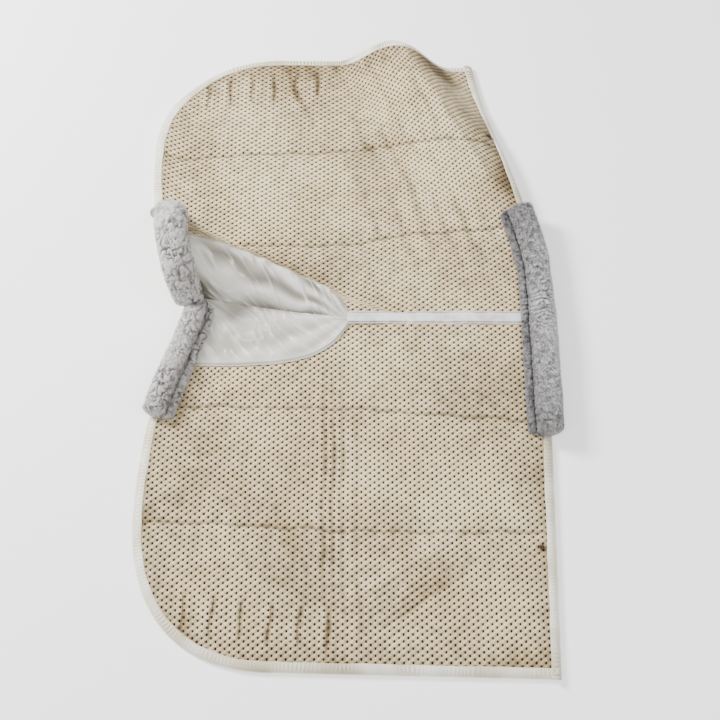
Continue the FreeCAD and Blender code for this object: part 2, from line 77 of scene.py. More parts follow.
# Its slanting rear fold, from the rear edge to the hem: run and cloth lost on its two sides.
REAR_FOLD_HEM, REAR_FOLD_EDGE = (110.0, DROP), (286.5, 136.0)
REAR_FOLD_HEIGHT, REAR_FOLD_RUN, REAR_FOLD_LOSS = 57.0, (98.0, 70.0), (57.0, 44.0)
REAR_FOLD_POWER, REAR_LOSS_POWER, REAR_FOLD_START_EASE, FOLD_EASE = 0.85, 0.70, 0.08, 0.12

HOLE_PITCH_S, HOLE_PITCH_Q = 13.1, 9.65    # two holes in each such cell
HOLE_SIZE, HOLE_DEPTH = (0.95, 1.9), 1.6
DIMPLE_SIZE, DIMPLE_DEPTH, RIDGE_RISE = (1.9, 2.2), 0.5, 0.6

KEEPER_S, KEEPER_PITCH = {"right": -157.0, "left": -170.0}, {"right": 41.0, "left": 36.0}
KEEPER_Q, KEEPER_ROWS, KEEPER_RAISE, KEEPER_REACH = 461.0, 6, 1.7, (11.0, 27.0)
ROW_STEP, ROW_LENGTH, ROW_LEAN = 5.0, 50.0, {"right": -0.09, "left": -0.04}
STITCH_PITCH = 3.4
RIVET_AT = (253.5, 368.0)
QUILT_LINES = [(148.0, 153.0, 172.0), (327.0, 343.0, 345.0)]   # drops at the places along s below
QUILT_PLACES, QUILT_ENDS = (-330.0, -20.0, 250.0), (-312.0, 262.0)
STAIN_AT, STAIN_SIZE = (205.0, 505.0), 26.0
FACING_HEM = [(-272.0, 83.0), (-130.0, 86.0), (-60.0, 84.0), (TAPE_START_S - 2.0, 12.0)]

rng = np.random.default_rng(7)


# ---- noise ----
def lattice_noise(x, y, seed):
    """Smooth value noise, about -1 to 1, with features one unit across."""
    x0, y0 = np.floor(x).astype(np.int64), np.floor(y).astype(np.int64)
    fx, fy = x - x0, y - y0
    fx, fy = fx * fx * (3 - 2 * fx), fy * fy * (3 - 2 * fy)

    def corner(i, j):
        n = (i * 374761393 + j * 668265263 + seed * 982451653) & 0xFFFFFFFF
        n = ((n ^ (n >> 13)) * 1274126177) & 0xFFFFFFFF
        return ((n ^ (n >> 16)) & 0xFFFF) / 32767.5 - 1

    low = corner(x0, y0) * (1 - fx) + corner(x0 + 1, y0) * fx
    high = corner(x0, y0 + 1) * (1 - fx) + corner(x0 + 1, y0 + 1) * fx
    return low * (1 - fy) + high * fy


def fractal(x, y, size, seed, octaves=3):
    """Noise whose largest features are this size, with finer octaves added."""
    total, weight = 0.0, 1.0
    for k in range(octaves):
        total = total + weight * lattice_noise(x / size, y / size, seed + k)
        size, weight = size / 2, weight / 2
    return total


# ---- flat pattern ----
def eased(value, width):
    """Nought below -width and the value itself above +width, with a smooth turn between."""
    turn = (value + width) ** 2 / (4 * width)
    return np.where(value <= -width, 0.0, np.where(value >= width, value, turn))


def wither_rise(s):
    """How far the curved wither seam lies beyond the spine line."""
    return WITHER_RISE * eased((TAPE_START_S - s) / (TAPE_START_S - NOTCH_S), RISE_EASE) ** RISE_POWER


def bezier(points, t):
    """Points and directions along a Bezier curve, for an array of t."""
    t = np.asarray(t, float)[:, None]
    row = [np.array(p, float)[None, :] for p in points]
    while len(row) > 2:
        row = [a * (1 - t) + b * t for a, b in zip(row, row[1:])]
    return row[0] * (1 - t) + row[1] * t, row[1] - row[0] + 0 * t


FRONT_CURVE = [
    (NOTCH_S, -WITHER_RISE),
    (NOTCH_S - FRONT_SWEEP[0], FRONT_SWEEP[1]),
    (-FRONT_REACH, FRONT_FULL_Q),
    (-FRONT_REACH, FRONT_STRAIGHT_Q),
]
CORNER_CURVE = [
    (-FRONT_REACH, FRONT_STRAIGHT_Q),
    (-FRONT_REACH, FRONT_STRAIGHT_Q + CORNER_HANDLES[0]),
    (CORNER_END_S - CORNER_HANDLES[1], DROP - HEM_RISE),
    (CORNER_END_S, DROP - HEM_RISE),
]
REAR_CORNER = (REAR_S - REAR_LEAN, DROP)
HEM_LINE = [(CORNER_END_S, DROP - HEM_RISE), REAR_CORNER]
REAR_LENGTH = math.hypot(REAR_LEAN, DROP)
REAR_IN = np.array([-DROP, -REAR_LEAN]) / REAR_LENGTH      # from the rear edge into the pad


def arc_length(line):
    """Distance along a line of points, from its first one."""
    return np.concatenate([[0], np.cumsum(np.linalg.norm(np.diff(line, axis=0), axis=1))])


def edge_line():
    """Front edge, rounded corner and hem as one line: points, inward directions, arc length."""
    points, inwards = [], []
    for curve, steps in ((FRONT_CURVE, 240), (CORNER_CURVE, 320), (HEM_LINE, 280)):
        p, d = bezier(curve, np.linspace(0, 1, steps, endpoint=False))
        points.append(p)
        inwards.append(np.stack([d[:, 1], -d[:, 0]], 1) / np.linalg.norm(d, axis=1)[:, None])
    points, inwards = np.concatenate(points), np.concatenate(inwards)
    return points, inwards, arc_length(points)


EDGE_P, EDGE_IN, EDGE_ARC = edge_line()


def edge_at(arc):
    """Point and inward direction of the front, corner and hem line at each arc length."""
    point = np.stack([np.interp(arc, EDGE_ARC, EDGE_P[:, k]) for k in (0, 1)], -1)
    inwards = np.stack([np.interp(arc, EDGE_ARC, EDGE_IN[:, k]) for k in (0, 1)], -1)
    return point, inwards


def rear_at(arc):
    """Point and inward direction of the rear edge at each distance from the spine."""
    share = np.asarray(arc, float)[..., None] / REAR_LENGTH
    point = np.array([REAR_S, 0.0]) * (1 - share) + np.array(REAR_CORNER) * share
    return point, np.broadcast_to(REAR_IN, point.shape)


def rear_distance(s, q):
    """Distance inwards from the rear edge."""
    return (s - REAR_S) * REAR_IN[0] + q * REAR_IN[1]


def nearest_edge(s, q):
    """Distance inwards from the front edge, corner and hem, and the inward direction there."""
    best = np.full(s.shape, 1e9)
    inside, in_s, in_q = np.zeros(s.shape), np.zeros(s.shape), np.zeros(s.shape)
    for point, inwards in zip(EDGE_P[::4], EDGE_IN[::4]):
        ds, dq = s - point[0], q - point[1]
        d = ds * ds + dq * dq
        closer = d < best
        best = np.where(closer, d, best)
        inside = np.where(closer, ds * inwards[0] + dq * inwards[1], inside)
        in_s = np.where(closer, inwards[0], in_s)
        in_q = np.where(closer, inwards[1], in_q)
    return inside, in_s, in_q


def edge_distance(s, q):
    """Distance inwards from the nearest bound edge; negative outside."""
    return np.minimum(nearest_edge(s, q)[0], rear_distance(s, q))


def pulled_inside(s, q, inset):
    """The same points, with any that lie past the inset line moved onto it."""
    distance, in_s, in_q = nearest_edge(s, q)
    push = np.maximum(inset - distance, 0)
    s, q = s + push * in_s, q + push * in_q
    push = np.maximum(inset - rear_distance(s, q), 0)
    s, q = s + push * REAR_IN[0], q + push * REAR_IN[1]
    return s, np.maximum(q, SEAM_GAP - wither_rise(s))


# ---- how each flap lies ----
def smooth(value):
    """Share from 0 to 1 with level ends."""
    value = np.clip(value, 0, 1)
    return value ** 2 * (3 - 2 * value)


def front_pull(s, q):
    """How far the standing fold draws the right flap's front edge back."""
    grown = smooth((q + wither_rise(s)) / PULL_GROWS) * smooth(1 - q / PULL_ENDS_Q)
    return FRONT_PULL * grown * smooth((s - PULL_S[0]) / (PULL_S[1] - PULL_S[0]))


def right_surface(s, q):
    """The flat flap: lining reference point of each flat-pattern place."""
    return np.stack([s + front_pull(s, q), -q, np.full(np.shape(s), THICKNESS)], -1)


def back_share(share):
    """Share of the fold's back reached, joining smoothly to the slopes on either side."""
    start = FOLD_FRONT_RUN * math.pi / 2 / FOLD_FRONT_CLOTH * FOLD_BACK_CLOTH / FOLD_BACK_RUN
    end = (1 - LEFT_TAKE_UP) * FOLD_BACK_CLOTH / FOLD_BACK_RUN
    rest = 1 - share
    return share * rest ** 2 * start + share ** 2 * (3 - 2 * share) - share ** 2 * rest * end


def fold_profile(cloth, strength):
    """Run and height of the wither fold after this much cloth from the seam."""
    start = np.pi / 2 * (1 - strength)
    front = FOLD_FRONT_CLOTH * strength
    back = FOLD_BACK_CLOTH * strength + 1e-6
    angle = start + np.pi / 2 * np.clip(cloth, 0, front) / FOLD_FRONT_CLOTH
    run = FOLD_FRONT_RUN * (np.cos(start) - np.cos(angle)) + np.minimum(cloth, 0)
    height = FOLD_HEIGHT * (np.sin(angle) - np.sin(start))
    share = np.clip((cloth - front) / back, 0, 1)
    run = run + FOLD_BACK_RUN * strength * back_share(share)
    run = run + np.clip(cloth - front - back, 0, None) * (1 - LEFT_TAKE_UP)
    crest = FOLD_HEIGHT * (1 - np.sin(start))
    return run, np.where(cloth > front, crest * (1 - share ** 2) ** 2, height)


REAR_FOLD_LENGTH = math.dist(REAR_FOLD_HEM, REAR_FOLD_EDGE)
REAR_FOLD_WAY = (np.array(REAR_FOLD_HEM) - np.array(REAR_FOLD_EDGE)) / REAR_FOLD_LENGTH


def rear_fold_place(s, q):
    """Distances along the slanting rear fold from the rear edge, and across it."""
    ds, dq = s - REAR_FOLD_EDGE[0], q - REAR_FOLD_EDGE[1]
    return ds * REAR_FOLD_WAY[0] + dq * REAR_FOLD_WAY[1], ds * REAR_FOLD_WAY[1] - dq * REAR_FOLD_WAY[0]


def rear_fold(s, q):
    """Shift and height added by the slanting rear fold of the left flap."""
    along, across = rear_fold_place(s, q)
    share = eased(along / REAR_FOLD_LENGTH, REAR_FOLD_START_EASE)
    rising = REAR_FOLD_RUN[0] + REAR_FOLD_LOSS[0]
    falling = REAR_FOLD_RUN[1] + REAR_FOLD_LOSS[1]
    up, down = np.clip(across / rising + 1, 0, 1), np.clip(across / falling, 0, 1)
    taken = np.minimum(1, eased(across / rising + 1, FOLD_EASE)) * REAR_FOLD_LOSS[0]
    taken = taken + np.maximum(0, 1 - eased(1 - across / falling, FOLD_EASE)) * REAR_FOLD_LOSS[1]
    height = REAR_FOLD_HEIGHT * share ** REAR_FOLD_POWER * (1 - np.cos(np.pi * (up - down))) / 2
    loss = taken * share ** REAR_LOSS_POWER
    return -REAR_FOLD_WAY[1] * loss, REAR_FOLD_WAY[0] * loss, height


def left_surface(s, q):
    """The folded flap: lining reference point of each flat-pattern place."""
    near_notch = eased((FOLD_END_S - s) / (FOLD_END_S - NOTCH_S), FOLD_START_EASE)
    strength = (1 - eased(1 - near_notch, FOLD_FULL_EASE)) ** FOLD_POWER
    rise = wither_rise(s)
    run, height = fold_profile(q + rise, strength)
    splay = np.clip(-s / FRONT_REACH, 0, 1) * LEFT_SPLAY
    splay = splay * np.sin(np.pi / 2 * np.clip(q / SPLAY_FULL_Q, 0, 1))
    shift_x, shift_y, lift = rear_fold(s, q)
    return np.stack([s - splay + shift_x, rise + run + shift_y, THICKNESS + height + lift], -1)


def unit(vectors):
    return vectors / np.linalg.norm(vectors, axis=-1, keepdims=True)


def normals(surface, s, q):
    """Unit directions out of the lining's face."""
    step = 0.5
    along = surface(s + step, q) - surface(s - step, q)
    low = np.maximum(q - step, 0.01 - wither_rise(s))
    across = surface(s, low + 2 * step) - surface(s, low)
    n = unit(np.cross(along, across))
    return np.where(n[..., 2:3] < 0, -n, n) if surface is right_surface else n


def on_flap(surface, s, q, height):
    """Points at a height above a flap's reference surface."""
    s, q = np.asarray(s, float), np.asarray(q, float)
    return surface(s, q) + normals(surface, s, q) * np.asarray(height, float)[..., None]


def on_pad(s, across, height):
    """Points on the whole pad, with the left flap on the positive side."""
    right = on_flap(right_surface, s, -across, height)
    left = on_flap(left_surface, s, np.maximum(across, 0.0), height)
    return np.where((np.asarray(across) > 0)[..., None], left, right)


# ---- mesh and material helpers ----
def mesh_object(name, points, faces, shade=None):
    """Mesh from points in millimetres; shade is a value at each point for its material."""
    mesh = bpy.data.meshes.new(name)
    mesh.from_pydata(((np.asarray(points) - CENTRE) / 1000).tolist(), [], faces)
    if shade is not None:
        layer = mesh.attributes.new("shade", "FLOAT", "POINT")
        layer.data.foreach_set("value", np.asarray(shade, np.float32))
    mesh.validate()
    mesh.update()
    mesh.shade_smooth()
    obj = bpy.data.objects.new(name, mesh)
    bpy.context.scene.collection.objects.link(obj)
    return obj


def grid_faces(rows, cols, close=False):
    """Four-sided faces of a grid of points, closed round its columns if asked."""
    i = np.arange(rows - 1)[:, None] * cols
    j = np.arange(cols if close else cols - 1)[None, :]
    k = (j + 1) % cols
    faces = np.stack([i + j, i + k, i + cols + k, i + cols + j], -1)
    return faces.reshape(-1, 4).tolist()


def grid_object(name, points, shade):
    return mesh_object(name, points.reshape(-1, 3), grid_faces(*shade.shape), shade.ravel())


class Shader:
    """Small helper that wires up one principled material."""

    def __init__(self, name, roughness=0.8, sheen=0.0, specular=0.3):
        self.material = bpy.data.materials.new(name)
        self.material.use_nodes = True
        self.nodes = self.material.node_tree.nodes
        self.links = self.material.node_tree.links
        self.surface = self.nodes["Principled BSDF"]
        self.surface.inputs["Roughness"].default_value = roughness
        self.surface.inputs["Sheen Weight"].default_value = sheen
        self.surface.inputs["Specular IOR Level"].default_value = specular

    def add(self, kind, **values):
        node = self.nodes.new(kind)
        for key, value in values.items():
            if key in node.inputs:
                node.inputs[key].default_value = value
            else:
                setattr(node, key, value)
        return node

    def feed(self, value, socket):
        """Links another node's output to a socket, or sets the socket to a plain value."""
        if hasattr(value, "is_linked"):
            self.links.new(value, socket)
        else:
            socket.default_value = value

    def pattern(self, kind, **values):
        """A pattern fixed to the object itself."""
        place = self.add("ShaderNodeTexCoord")
        node = self.add(kind, **values)
        self.links.new(place.outputs["Object"], node.inputs["Vector"])
        return node.outputs["Fac"]

    def noise(self, scale, detail=3.0):
        return self.pattern("ShaderNodeTexNoise", Scale=scale, Detail=detail)

    def shade(self):
        node = self.add("ShaderNodeAttribute", attribute_name="shade")
        return node.outputs["Fac"]

    def ramp(self, value, stops):
        node = self.add("ShaderNodeValToRGB")
        node.color_ramp.elements[0].position, node.color_ramp.elements[0].color = stops[0]
        node.color_ramp.elements[1].position, node.color_ramp.elements[1].color = stops[-1]
        for position, colour in stops[1:-1]:
            node.color_ramp.elements.new(position).color = colour
        self.links.new(value, node.inputs["Fac"])
        return node.outputs["Color"]

    def mix(self, share, a, b, blend="MIX"):
        node = self.add("ShaderNodeMix", data_type="RGBA", blend_type=blend)
        for place, value in ((0, share), (6, a), (7, b)):
            self.feed(value, node.inputs[place])
        return node.outputs[2]

    def colour(self, value):
        self.feed(value, self.surface.inputs["Base Color"])
        return self

    def shaded(self, tone, stops):
        """Tone darkened by a ramp over the mesh's shade."""
        return self.colour(self.mix(1.0, tone, self.ramp(self.shade(), stops), "MULTIPLY"))

    def bump(self, value, strength, distance):
        node = self.add("ShaderNodeBump", Strength=strength, Distance=distance)
        self.links.new(value, node.inputs["Height"])
        self.links.new(node.outputs["Normal"], self.surface.inputs["Normal"])
        return self


def rgb(r, g, b):
    """Colour given as it looks on screen, from 0 to 255."""
    return tuple(((v / 255 + 0.055) / 1.055) ** 2.4 for v in (r, g, b)) + (1.0,)


WHITE = rgb(255, 255, 255)


def lining_material():
    m = Shader("perforated lining", roughness=0.85, sheen=0.15, specular=0.15)
    clean_and_unshaded = m.ramp(m.noise(9.0), [(0.3, rgb(222, 203, 161)), (0.7, rgb(244, 230, 194))])
    soiled = m.mix(m.noise(3.0, 5.0), clean_and_unshaded, rgb(198, 175, 134))
    base = m.mix(0.6, clean_and_unshaded, soiled)
    m.shaded(base, [(0.0, rgb(24, 20, 16)), (0.45, rgb(134, 124, 108)), (0.9, WHITE)])
    return m.bump(m.noise(900.0, 2.0), 0.25, 0.0006).material


LINING_MAT = lining_material()


def stage():
    """Pale floor, three soft lamps and an even surrounding light."""
    floor = bpy.data.meshes.new("floor")
    size = 6.0
    corners = [(-size, -size, 0), (size, -size, 0), (size, size, 0), (-size, size, 0)]
    floor.from_pydata(corners, [], [(0, 1, 2, 3)])
    floor_object = bpy.data.objects.new("floor", floor)
    floor_object.location.z = -0.0005
    bpy.context.scene.collection.objects.link(floor_object)
    paper = Shader("floor", roughness=0.95, specular=0.0).colour((0.95, 0.95, 0.95, 1))
    paper.surface.inputs["Emission Color"].default_value = (1, 1, 1, 1)
    paper.surface.inputs["Emission Strength"].default_value = 0.46
    floor.materials.append(paper.material)
    lamps = [
        ("key lamp", (-1.8, 1.1, 1.5), 0.7, 160.0),
        ("fill lamp", (1.6, -0.7, 2.4), 2.2, 62.0),
        ("front lamp", (-1.5, -1.8, 2.2), 2.2, 34.0),
    ]
    for name, place, size, power in lamps:
        data = bpy.data.lights.new(name, "AREA")
        data.size, data.energy = size, power
        lamp = bpy.data.objects.new(name, data)
        lamp.location = place
        lamp.rotation_euler = (Vector((0, 0, 0)) - Vector(place)).to_track_quat("-Z", "Y").to_euler()
        bpy.context.scene.collection.objects.link(lamp)
    world = bpy.data.worlds.new("studio")
    world.use_nodes = True
    world.node_tree.nodes["Background"].inputs["Color"].default_value = (1, 1, 1, 1)
    world.node_tree.nodes["Background"].inputs["Strength"].default_value = 0.52
    bpy.context.scene.world = world


def camera():
    """View from 66 degrees above the floor, across the near flap."""
    target, distance, height_angle = Vector((0.0185, -0.046, 0.0)), 1.786, math.radians(66)
    data = bpy.data.cameras.new("camera")
    data.lens, data.sensor_width = 57.5, 36.0
    view = bpy.data.objects.new("camera", data)
    back = Vector((0, -math.cos(height_angle), math.sin(height_angle)))
    view.location = target + back * distance
    view.rotation_euler = (-back).to_track_quat("-Z", "Y").to_euler()
    bpy.context.scene.collection.objects.link(view)
    bpy.context.scene.camera = view


stage()
camera()


# ---- the surface's own relief ----
def groove(distance, width):
    """Bell-shaped cross-section, 1 in the middle."""
    return np.exp(-(distance / width) ** 2)


def thickness_drop(inset):
    """How far the pad's face falls towards its pinched, bound edge."""
    return 4.0 * np.exp(-np.clip(inset - 8.0, 0, None) / 9.0)


def thread_line(s, drops):
    """Drop of a quilting seam along the spine, with the seam's small wander."""
    return np.interp(s, QUILT_PLACES, drops) + 1.0 * np.sin(s / 11.0) + 1.4 * fractal(s, s * 0, 40.0, 5, 2)


def row_line(side, i, q):
    """Place along the spine of a keeper stitch row at each drop."""
    start = KEEPER_S[side] + KEEPER_PITCH[side] * (i - (KEEPER_ROWS - 1) / 2)
    from_middle = q - KEEPER_Q - ROW_STEP * i
    return start + ROW_LEAN[side] * from_middle + 1.2 * np.sin(q / 9.0 + 2 * i)


CREASE_BANDS = [(-68.0, 1.8), (-55.0, 2.2), (-42.0, 1.6), (-20.0, 0.8)]   # place, depth


def ridge(distance, width, gap):
    """Cross-section of a crease: a ridge with a valley beside it."""
    return groove(distance, width) - groove(distance - gap, width)


def right_creases(s, q):
    """Bands across the right flap and slanting creases in its lower rear: height, and painted shade in
    their valleys.
    """
    height, painted_shade = np.zeros(np.shape(s)), np.zeros(np.shape(s))
    for place, depth in CREASE_BANDS:
        d = s - place - 4 * fractal(q, q * 0, 120.0, 9, 2)
        there = np.clip(0.7 + 0.5 * fractal(s * 0 + place, q, 70.0, 14, 2), 0, 1)
        there = there * np.clip((q - 70) / 60, 0, 1)
        height += depth * ridge(d, 4.0, 7.0) * there
        # Painted shade in the valley beside each band's ridge.
        painted_shade += 0.16 * depth * groove(d - 7, 2.6) * there
    window = groove(q - 450.0, 80.0) * groove(s - 120.0, 120.0)
    for k in range(6):
        d = (s - 20.0 - 34.0 * k) * 0.55 + (q - 420.0 + 12.0 * k) * 0.83 + 5 * fractal(s, q, 90.0, 17)
        height += 1.9 * ridge(d, 5.0, 8.0) * window
        # Painted shade in the valley of each slanting crease.
        painted_shade += 0.3 * groove(d - 8, 2.6) * window
    return height, painted_shade


def left_creases(s, q):
    """Creases beside the left flap's slanting fold, and pleats at its standing fold: height, and painted
    shade in their valleys and on the slopes beyond the folds' crests.
    """
    height, painted_shade = np.zeros(np.shape(s)), np.zeros(np.shape(s))
    d = rear_fold_place(s, q)[1]
    height += 3.2 * groove(d + 2, 9.0) * np.clip((q - 150) / 120, 0, 1)
    for k in range(7):
        lean = d * 0.8 + 0.25 * s + 38.0 * k + 6 * fractal(s, q, 80.0, 23)
        there = np.clip((q - 60) / 120, 0, 1) * np.clip(0.5 + fractal(s, q, 90.0, 26 + k, 2), 0, 1)
        height += 1.6 * (groove(lean, 7.0) - groove(lean - 12, 8.0)) * there
        # Painted shade in each pleat's valley.
        painted_shade += 0.16 * groove(lean - 12, 5.0) * there
    # Painted shade on the falling slope beyond the slanting fold's crest.
    painted_shade += 0.2 * groove(d - 42, 30.0) * np.clip((q - 130) / 120, 0, 1)
    crest = q + wither_rise(s) - FOLD_FRONT_CLOTH * np.clip((60 - s) / 340, 0, 1)
    pleat = np.sin(s / 5.2 + 3.0 * lattice_noise(s / 30, q / 40, 24))
    height += 1.1 * pleat * groove(crest - 18, 26.0) * np.clip((-10 - s) / 60, 0, 1)
    # Painted shade on the slope beyond the standing fold's crest.
    painted_shade += 0.22 * groove(crest - 45, 30.0) * np.clip((-30 - s) / 80, 0, 1)
    return height, painted_shade


def relief(side, s, q, inset):
    """Height of the lining's face over its reference, and how clean and unshaded it is there: dirt and
    stains, plus painted shade in its creases, quilting grooves and keeper stitch rows.
    """
    seed = 11 if side == "right" else 31
    within = np.clip((inset - 9) / 25, 0, 1)
    padding = 1.8 * fractal(s, q, 75.0, seed, 2) + 0.7 * fractal(s, q, 24.0, seed + 4, 2)
    pressed, painted_shade = right_creases(s, q) if side == "right" else left_creases(s, q)
    height = (padding + pressed) * within
    clean_and_unshaded = 1 - painted_shade - 0.2 * np.exp(-np.clip(inset - 14, 0, None) / 22.0)
    clean_and_unshaded = clean_and_unshaded - 0.12 * np.clip(fractal(s, q, 130.0, seed + 6, 3), 0, 1)
    for drops in QUILT_LINES:
        d = q - thread_line(s, drops)
        gather = np.sin(s / 4.1 + 2 * lattice_noise(s / 30, q / 30, 3))
        pulled = 2.2 * groove(d, 4.0) + 1.6 * groove(d, 16.0) - 0.7 * gather * groove(np.abs(d) - 6, 6.0)
        height = height - pulled * np.clip((inset - 12) / 14, 0.15, 1)
        # Painted shade in the quilting groove.
        clean_and_unshaded = clean_and_unshaded - 0.2 * groove(d, 2.6)
    for i in range(KEEPER_ROWS):
        middle = KEEPER_Q + ROW_STEP * i
        window = 1 / (1 + np.exp((np.abs(q - middle) / (ROW_LENGTH / 2) - 1.15) * 8))
        d = s - row_line(side, i, q)
        height = height + window * (2.0 * groove(d - 1, 11.0) - 3.6 * groove(d, 4.0))
        # Painted shade in the stitch row's groove, and a painted highlight on the puff beside it.
        clean_and_unshaded = clean_and_unshaded - window * (0.35 * groove(d - 1.5, 3.0) - 0.1 * groove(d + 6, 4.0))
    rivet = np.hypot(s - RIVET_AT[0], q - RIVET_AT[1])
    height = height * (1 - groove(rivet, 12.0)) - 0.4 * groove(rivet, 9.0)
    clean_and_unshaded = clean_and_unshaded - 0.35 * groove(rivet, 7.0)
    if side == "left":
        stain = np.hypot((s - STAIN_AT[0]) / 1.2, (q - STAIN_AT[1]) / 0.8)
        clean_and_unshaded = clean_and_unshaded - 0.4 * groove(stain, STAIN_SIZE)
    return height - thickness_drop(inset), np.clip(clean_and_unshaded, 0, 1)


def bends(obj):
    """Bakes a piece's placement into its mesh."""
    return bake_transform(obj)


def finish_piece(obj, material, slot, *nodes):
    """Gives a piece its material and hides the CAD nodes that it stands for; slot is not used."""
    obj.data.materials.append(material)
    if nodes:
        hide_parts(*nodes)
    return obj


SURFACES = {"right": right_surface, "left": left_surface}


# ---- flat shapes of the cloth pieces ----
CORNER_MIDDLE_ARC = EDGE_ARC[400]


def flap_patch(inset, rows, cols):
    """Flat-pattern grid that fills a flap: rows run from seam to hem, columns front to rear."""
    u, v = np.linspace(0, 1, cols), np.linspace(0, 1, rows)
    front, front_in = edge_at(v * CORNER_MIDDLE_ARC)
    front = front + front_in * inset
    hem_arc = CORNER_MIDDLE_ARC + u * (EDGE_ARC[-1] - inset - CORNER_MIDDLE_ARC)
    hem, hem_in = edge_at(hem_arc)
    hem = hem + hem_in * inset
    rear, rear_in = rear_at(v * (REAR_LENGTH - inset))
    rear = rear + rear_in * inset
    seam_s = front[0, 0] + (rear[0, 0] - front[0, 0]) * u
    seam = np.stack([seam_s, SEAM_GAP - wither_rise(seam_s)], -1)
    a, b = u[None, :, None], v[:, None, None]
    ruled = seam[None] * (1 - b) + hem[None] * b + front[:, None] * (1 - a) + rear[:, None] * a
    corners = (seam[0] * (1 - b) + hem[0] * b) * (1 - a) + (seam[-1] * (1 - b) + hem[-1] * b) * a
    grid = ruled - corners
    return grid[..., 0], grid[..., 1]


# ---- perforated lining ----
# One cell of the knit: six outer corners, then a dimple and a hole of eight points each.
CELL_OUTER = [(-1, -1), (0, -1), (1, -1), (1, 1), (0, 1), (-1, 1)]
CELL_ANGLES = np.radians([180, -135, -90, -45, 0, 45, 90, 135])
OUTER_FACES = [(5, 0, 6), (0, 7, 6), (0, 1, 8, 7), (1, 2, 9, 8), (2, 10, 9), (2, 3, 10),
               (3, 11, 10), (3, 4, 12, 11), (4, 5, 13, 12), (5, 6, 13)]


def lining(side):
    """Cloth with a real hole in every cell of its brick pattern."""
    half_s, half_q = HOLE_PITCH_S / 2, HOLE_PITCH_Q / 4
    rows = np.arange(-int(WITHER_RISE / (2 * half_q)) - 2, int(DROP / (2 * half_q)) + 2)
    cols = np.arange(-int(FRONT_REACH / HOLE_PITCH_S) - 2, int(REAR_S / HOLE_PITCH_S) + 2)
    row, col = np.meshgrid(rows, cols, indexing="ij")
    centre_s = (col * HOLE_PITCH_S + (row % 2) * half_s).ravel()
    centre_q = (row * 2 * half_q).ravel()
    corner_s = centre_s[:, None] + np.array([x for x, y in CELL_OUTER]) * half_s
    corner_q = centre_q[:, None] + np.array([y for x, y in CELL_OUTER]) * half_q
    kept = edge_distance(centre_s, centre_q) > 1.0
    kept &= centre_q + wither_rise(centre_s) > 0.5
    centre_s, centre_q = centre_s[kept], centre_q[kept]
    corner_s, corner_q = corner_s[kept], corner_q[kept]
    count = len(centre_s)

    key = np.round(corner_s / half_s).astype(np.int64) * 4096 + np.round(corner_q / half_q).astype(np.int64)
    keys, first, inverse = np.unique(key.ravel(), return_index=True, return_inverse=True)
    inverse = inverse.reshape(count, 6)
    shared = len(keys)
    size = 1 + 0.12 * lattice_noise(centre_s / 7, centre_q / 5, 71)
    slant = 0.18 * lattice_noise(centre_s / 40, centre_q / 40, 72)
    s, q, drop = [corner_s.ravel()[first]], [corner_q.ravel()[first]], [np.full(shared, -RIDGE_RISE)]
    for (radius_s, radius_q), depth in ((DIMPLE_SIZE, DIMPLE_DEPTH), (HOLE_SIZE, HOLE_DEPTH)):
        up = np.sin(CELL_ANGLES)[None, :] * radius_q * size[:, None]
        beside = np.cos(CELL_ANGLES)[None, :] * radius_s * size[:, None] + up * slant[:, None]
        s.append((centre_s[:, None] + beside).ravel())
        q.append((centre_q[:, None] + up).ravel())
        drop.append(np.full(8 * count, depth))
    s, q, drop = (np.concatenate(part) for part in (s, q, drop))
    s, q = pulled_inside(s, q, LAYER_INSET)
    height, clean_and_unshaded = relief(side, s, q, edge_distance(s, q))
    points = on_flap(SURFACES[side], s, q, height - drop)

    middle = shared + np.arange(8 * count).reshape(count, 8)
    rim = middle + 8 * count
    index = np.concatenate([inverse, middle], 1)
    faces = []
    for face in OUTER_FACES:
        faces += index[:, face].tolist()
    for k in range(8):
        j = (k + 1) % 8
        faces += np.stack([middle[:, k], middle[:, j], rim[:, j], rim[:, k]], 1).tolist()
    if side == "right":
        faces = [face[::-1] for face in faces]
    knit = 0.1 * lattice_noise(s / 6.5, q / 9.0, 73) + 0.08 * fractal(s, q, 90.0, 74, 3)
    # Painted shade deep in each hole and, lighter, in the dimple round it.
    hole_and_dimple_shade = np.where(drop > DIMPLE_DEPTH, 0.15, np.where(drop > 0, 0.76, 1.0))
    shade = np.clip((clean_and_unshaded - 0.1 + knit) * hole_and_dimple_shade, 0, 1)
    obj = mesh_object(side + "_lining_cloth", points, faces, shade)
    finish_piece(obj, LINING_MAT, "lining_mesh", side + "_lining")
    return bends(obj)


# ---- foam core and outer cloth ----
def core_material():
    m = Shader("dark core", roughness=0.95, specular=0.05)
    # Near-black tones: painted shade seen through the lining's holes.
    tone = m.ramp(m.noise(40.0), [(0.3, rgb(26, 21, 16)), (0.7, rgb(54, 43, 33))])
    return m.colour(tone).bump(m.noise(700.0), 0.5, 0.001).material


def shell_material():
    m = Shader("quilted cotton", roughness=0.85, sheen=0.2, specular=0.2)
    tone = m.ramp(m.noise(6.0, 5.0), [(0.3, rgb(222, 214, 198)), (0.7, rgb(236, 230, 217))])
    m.shaded(tone, [(0.0, rgb(150, 140, 122)), (1.0, WHITE)])
    return m.bump(m.noise(1200.0, 2.0), 0.3, 0.0005).material


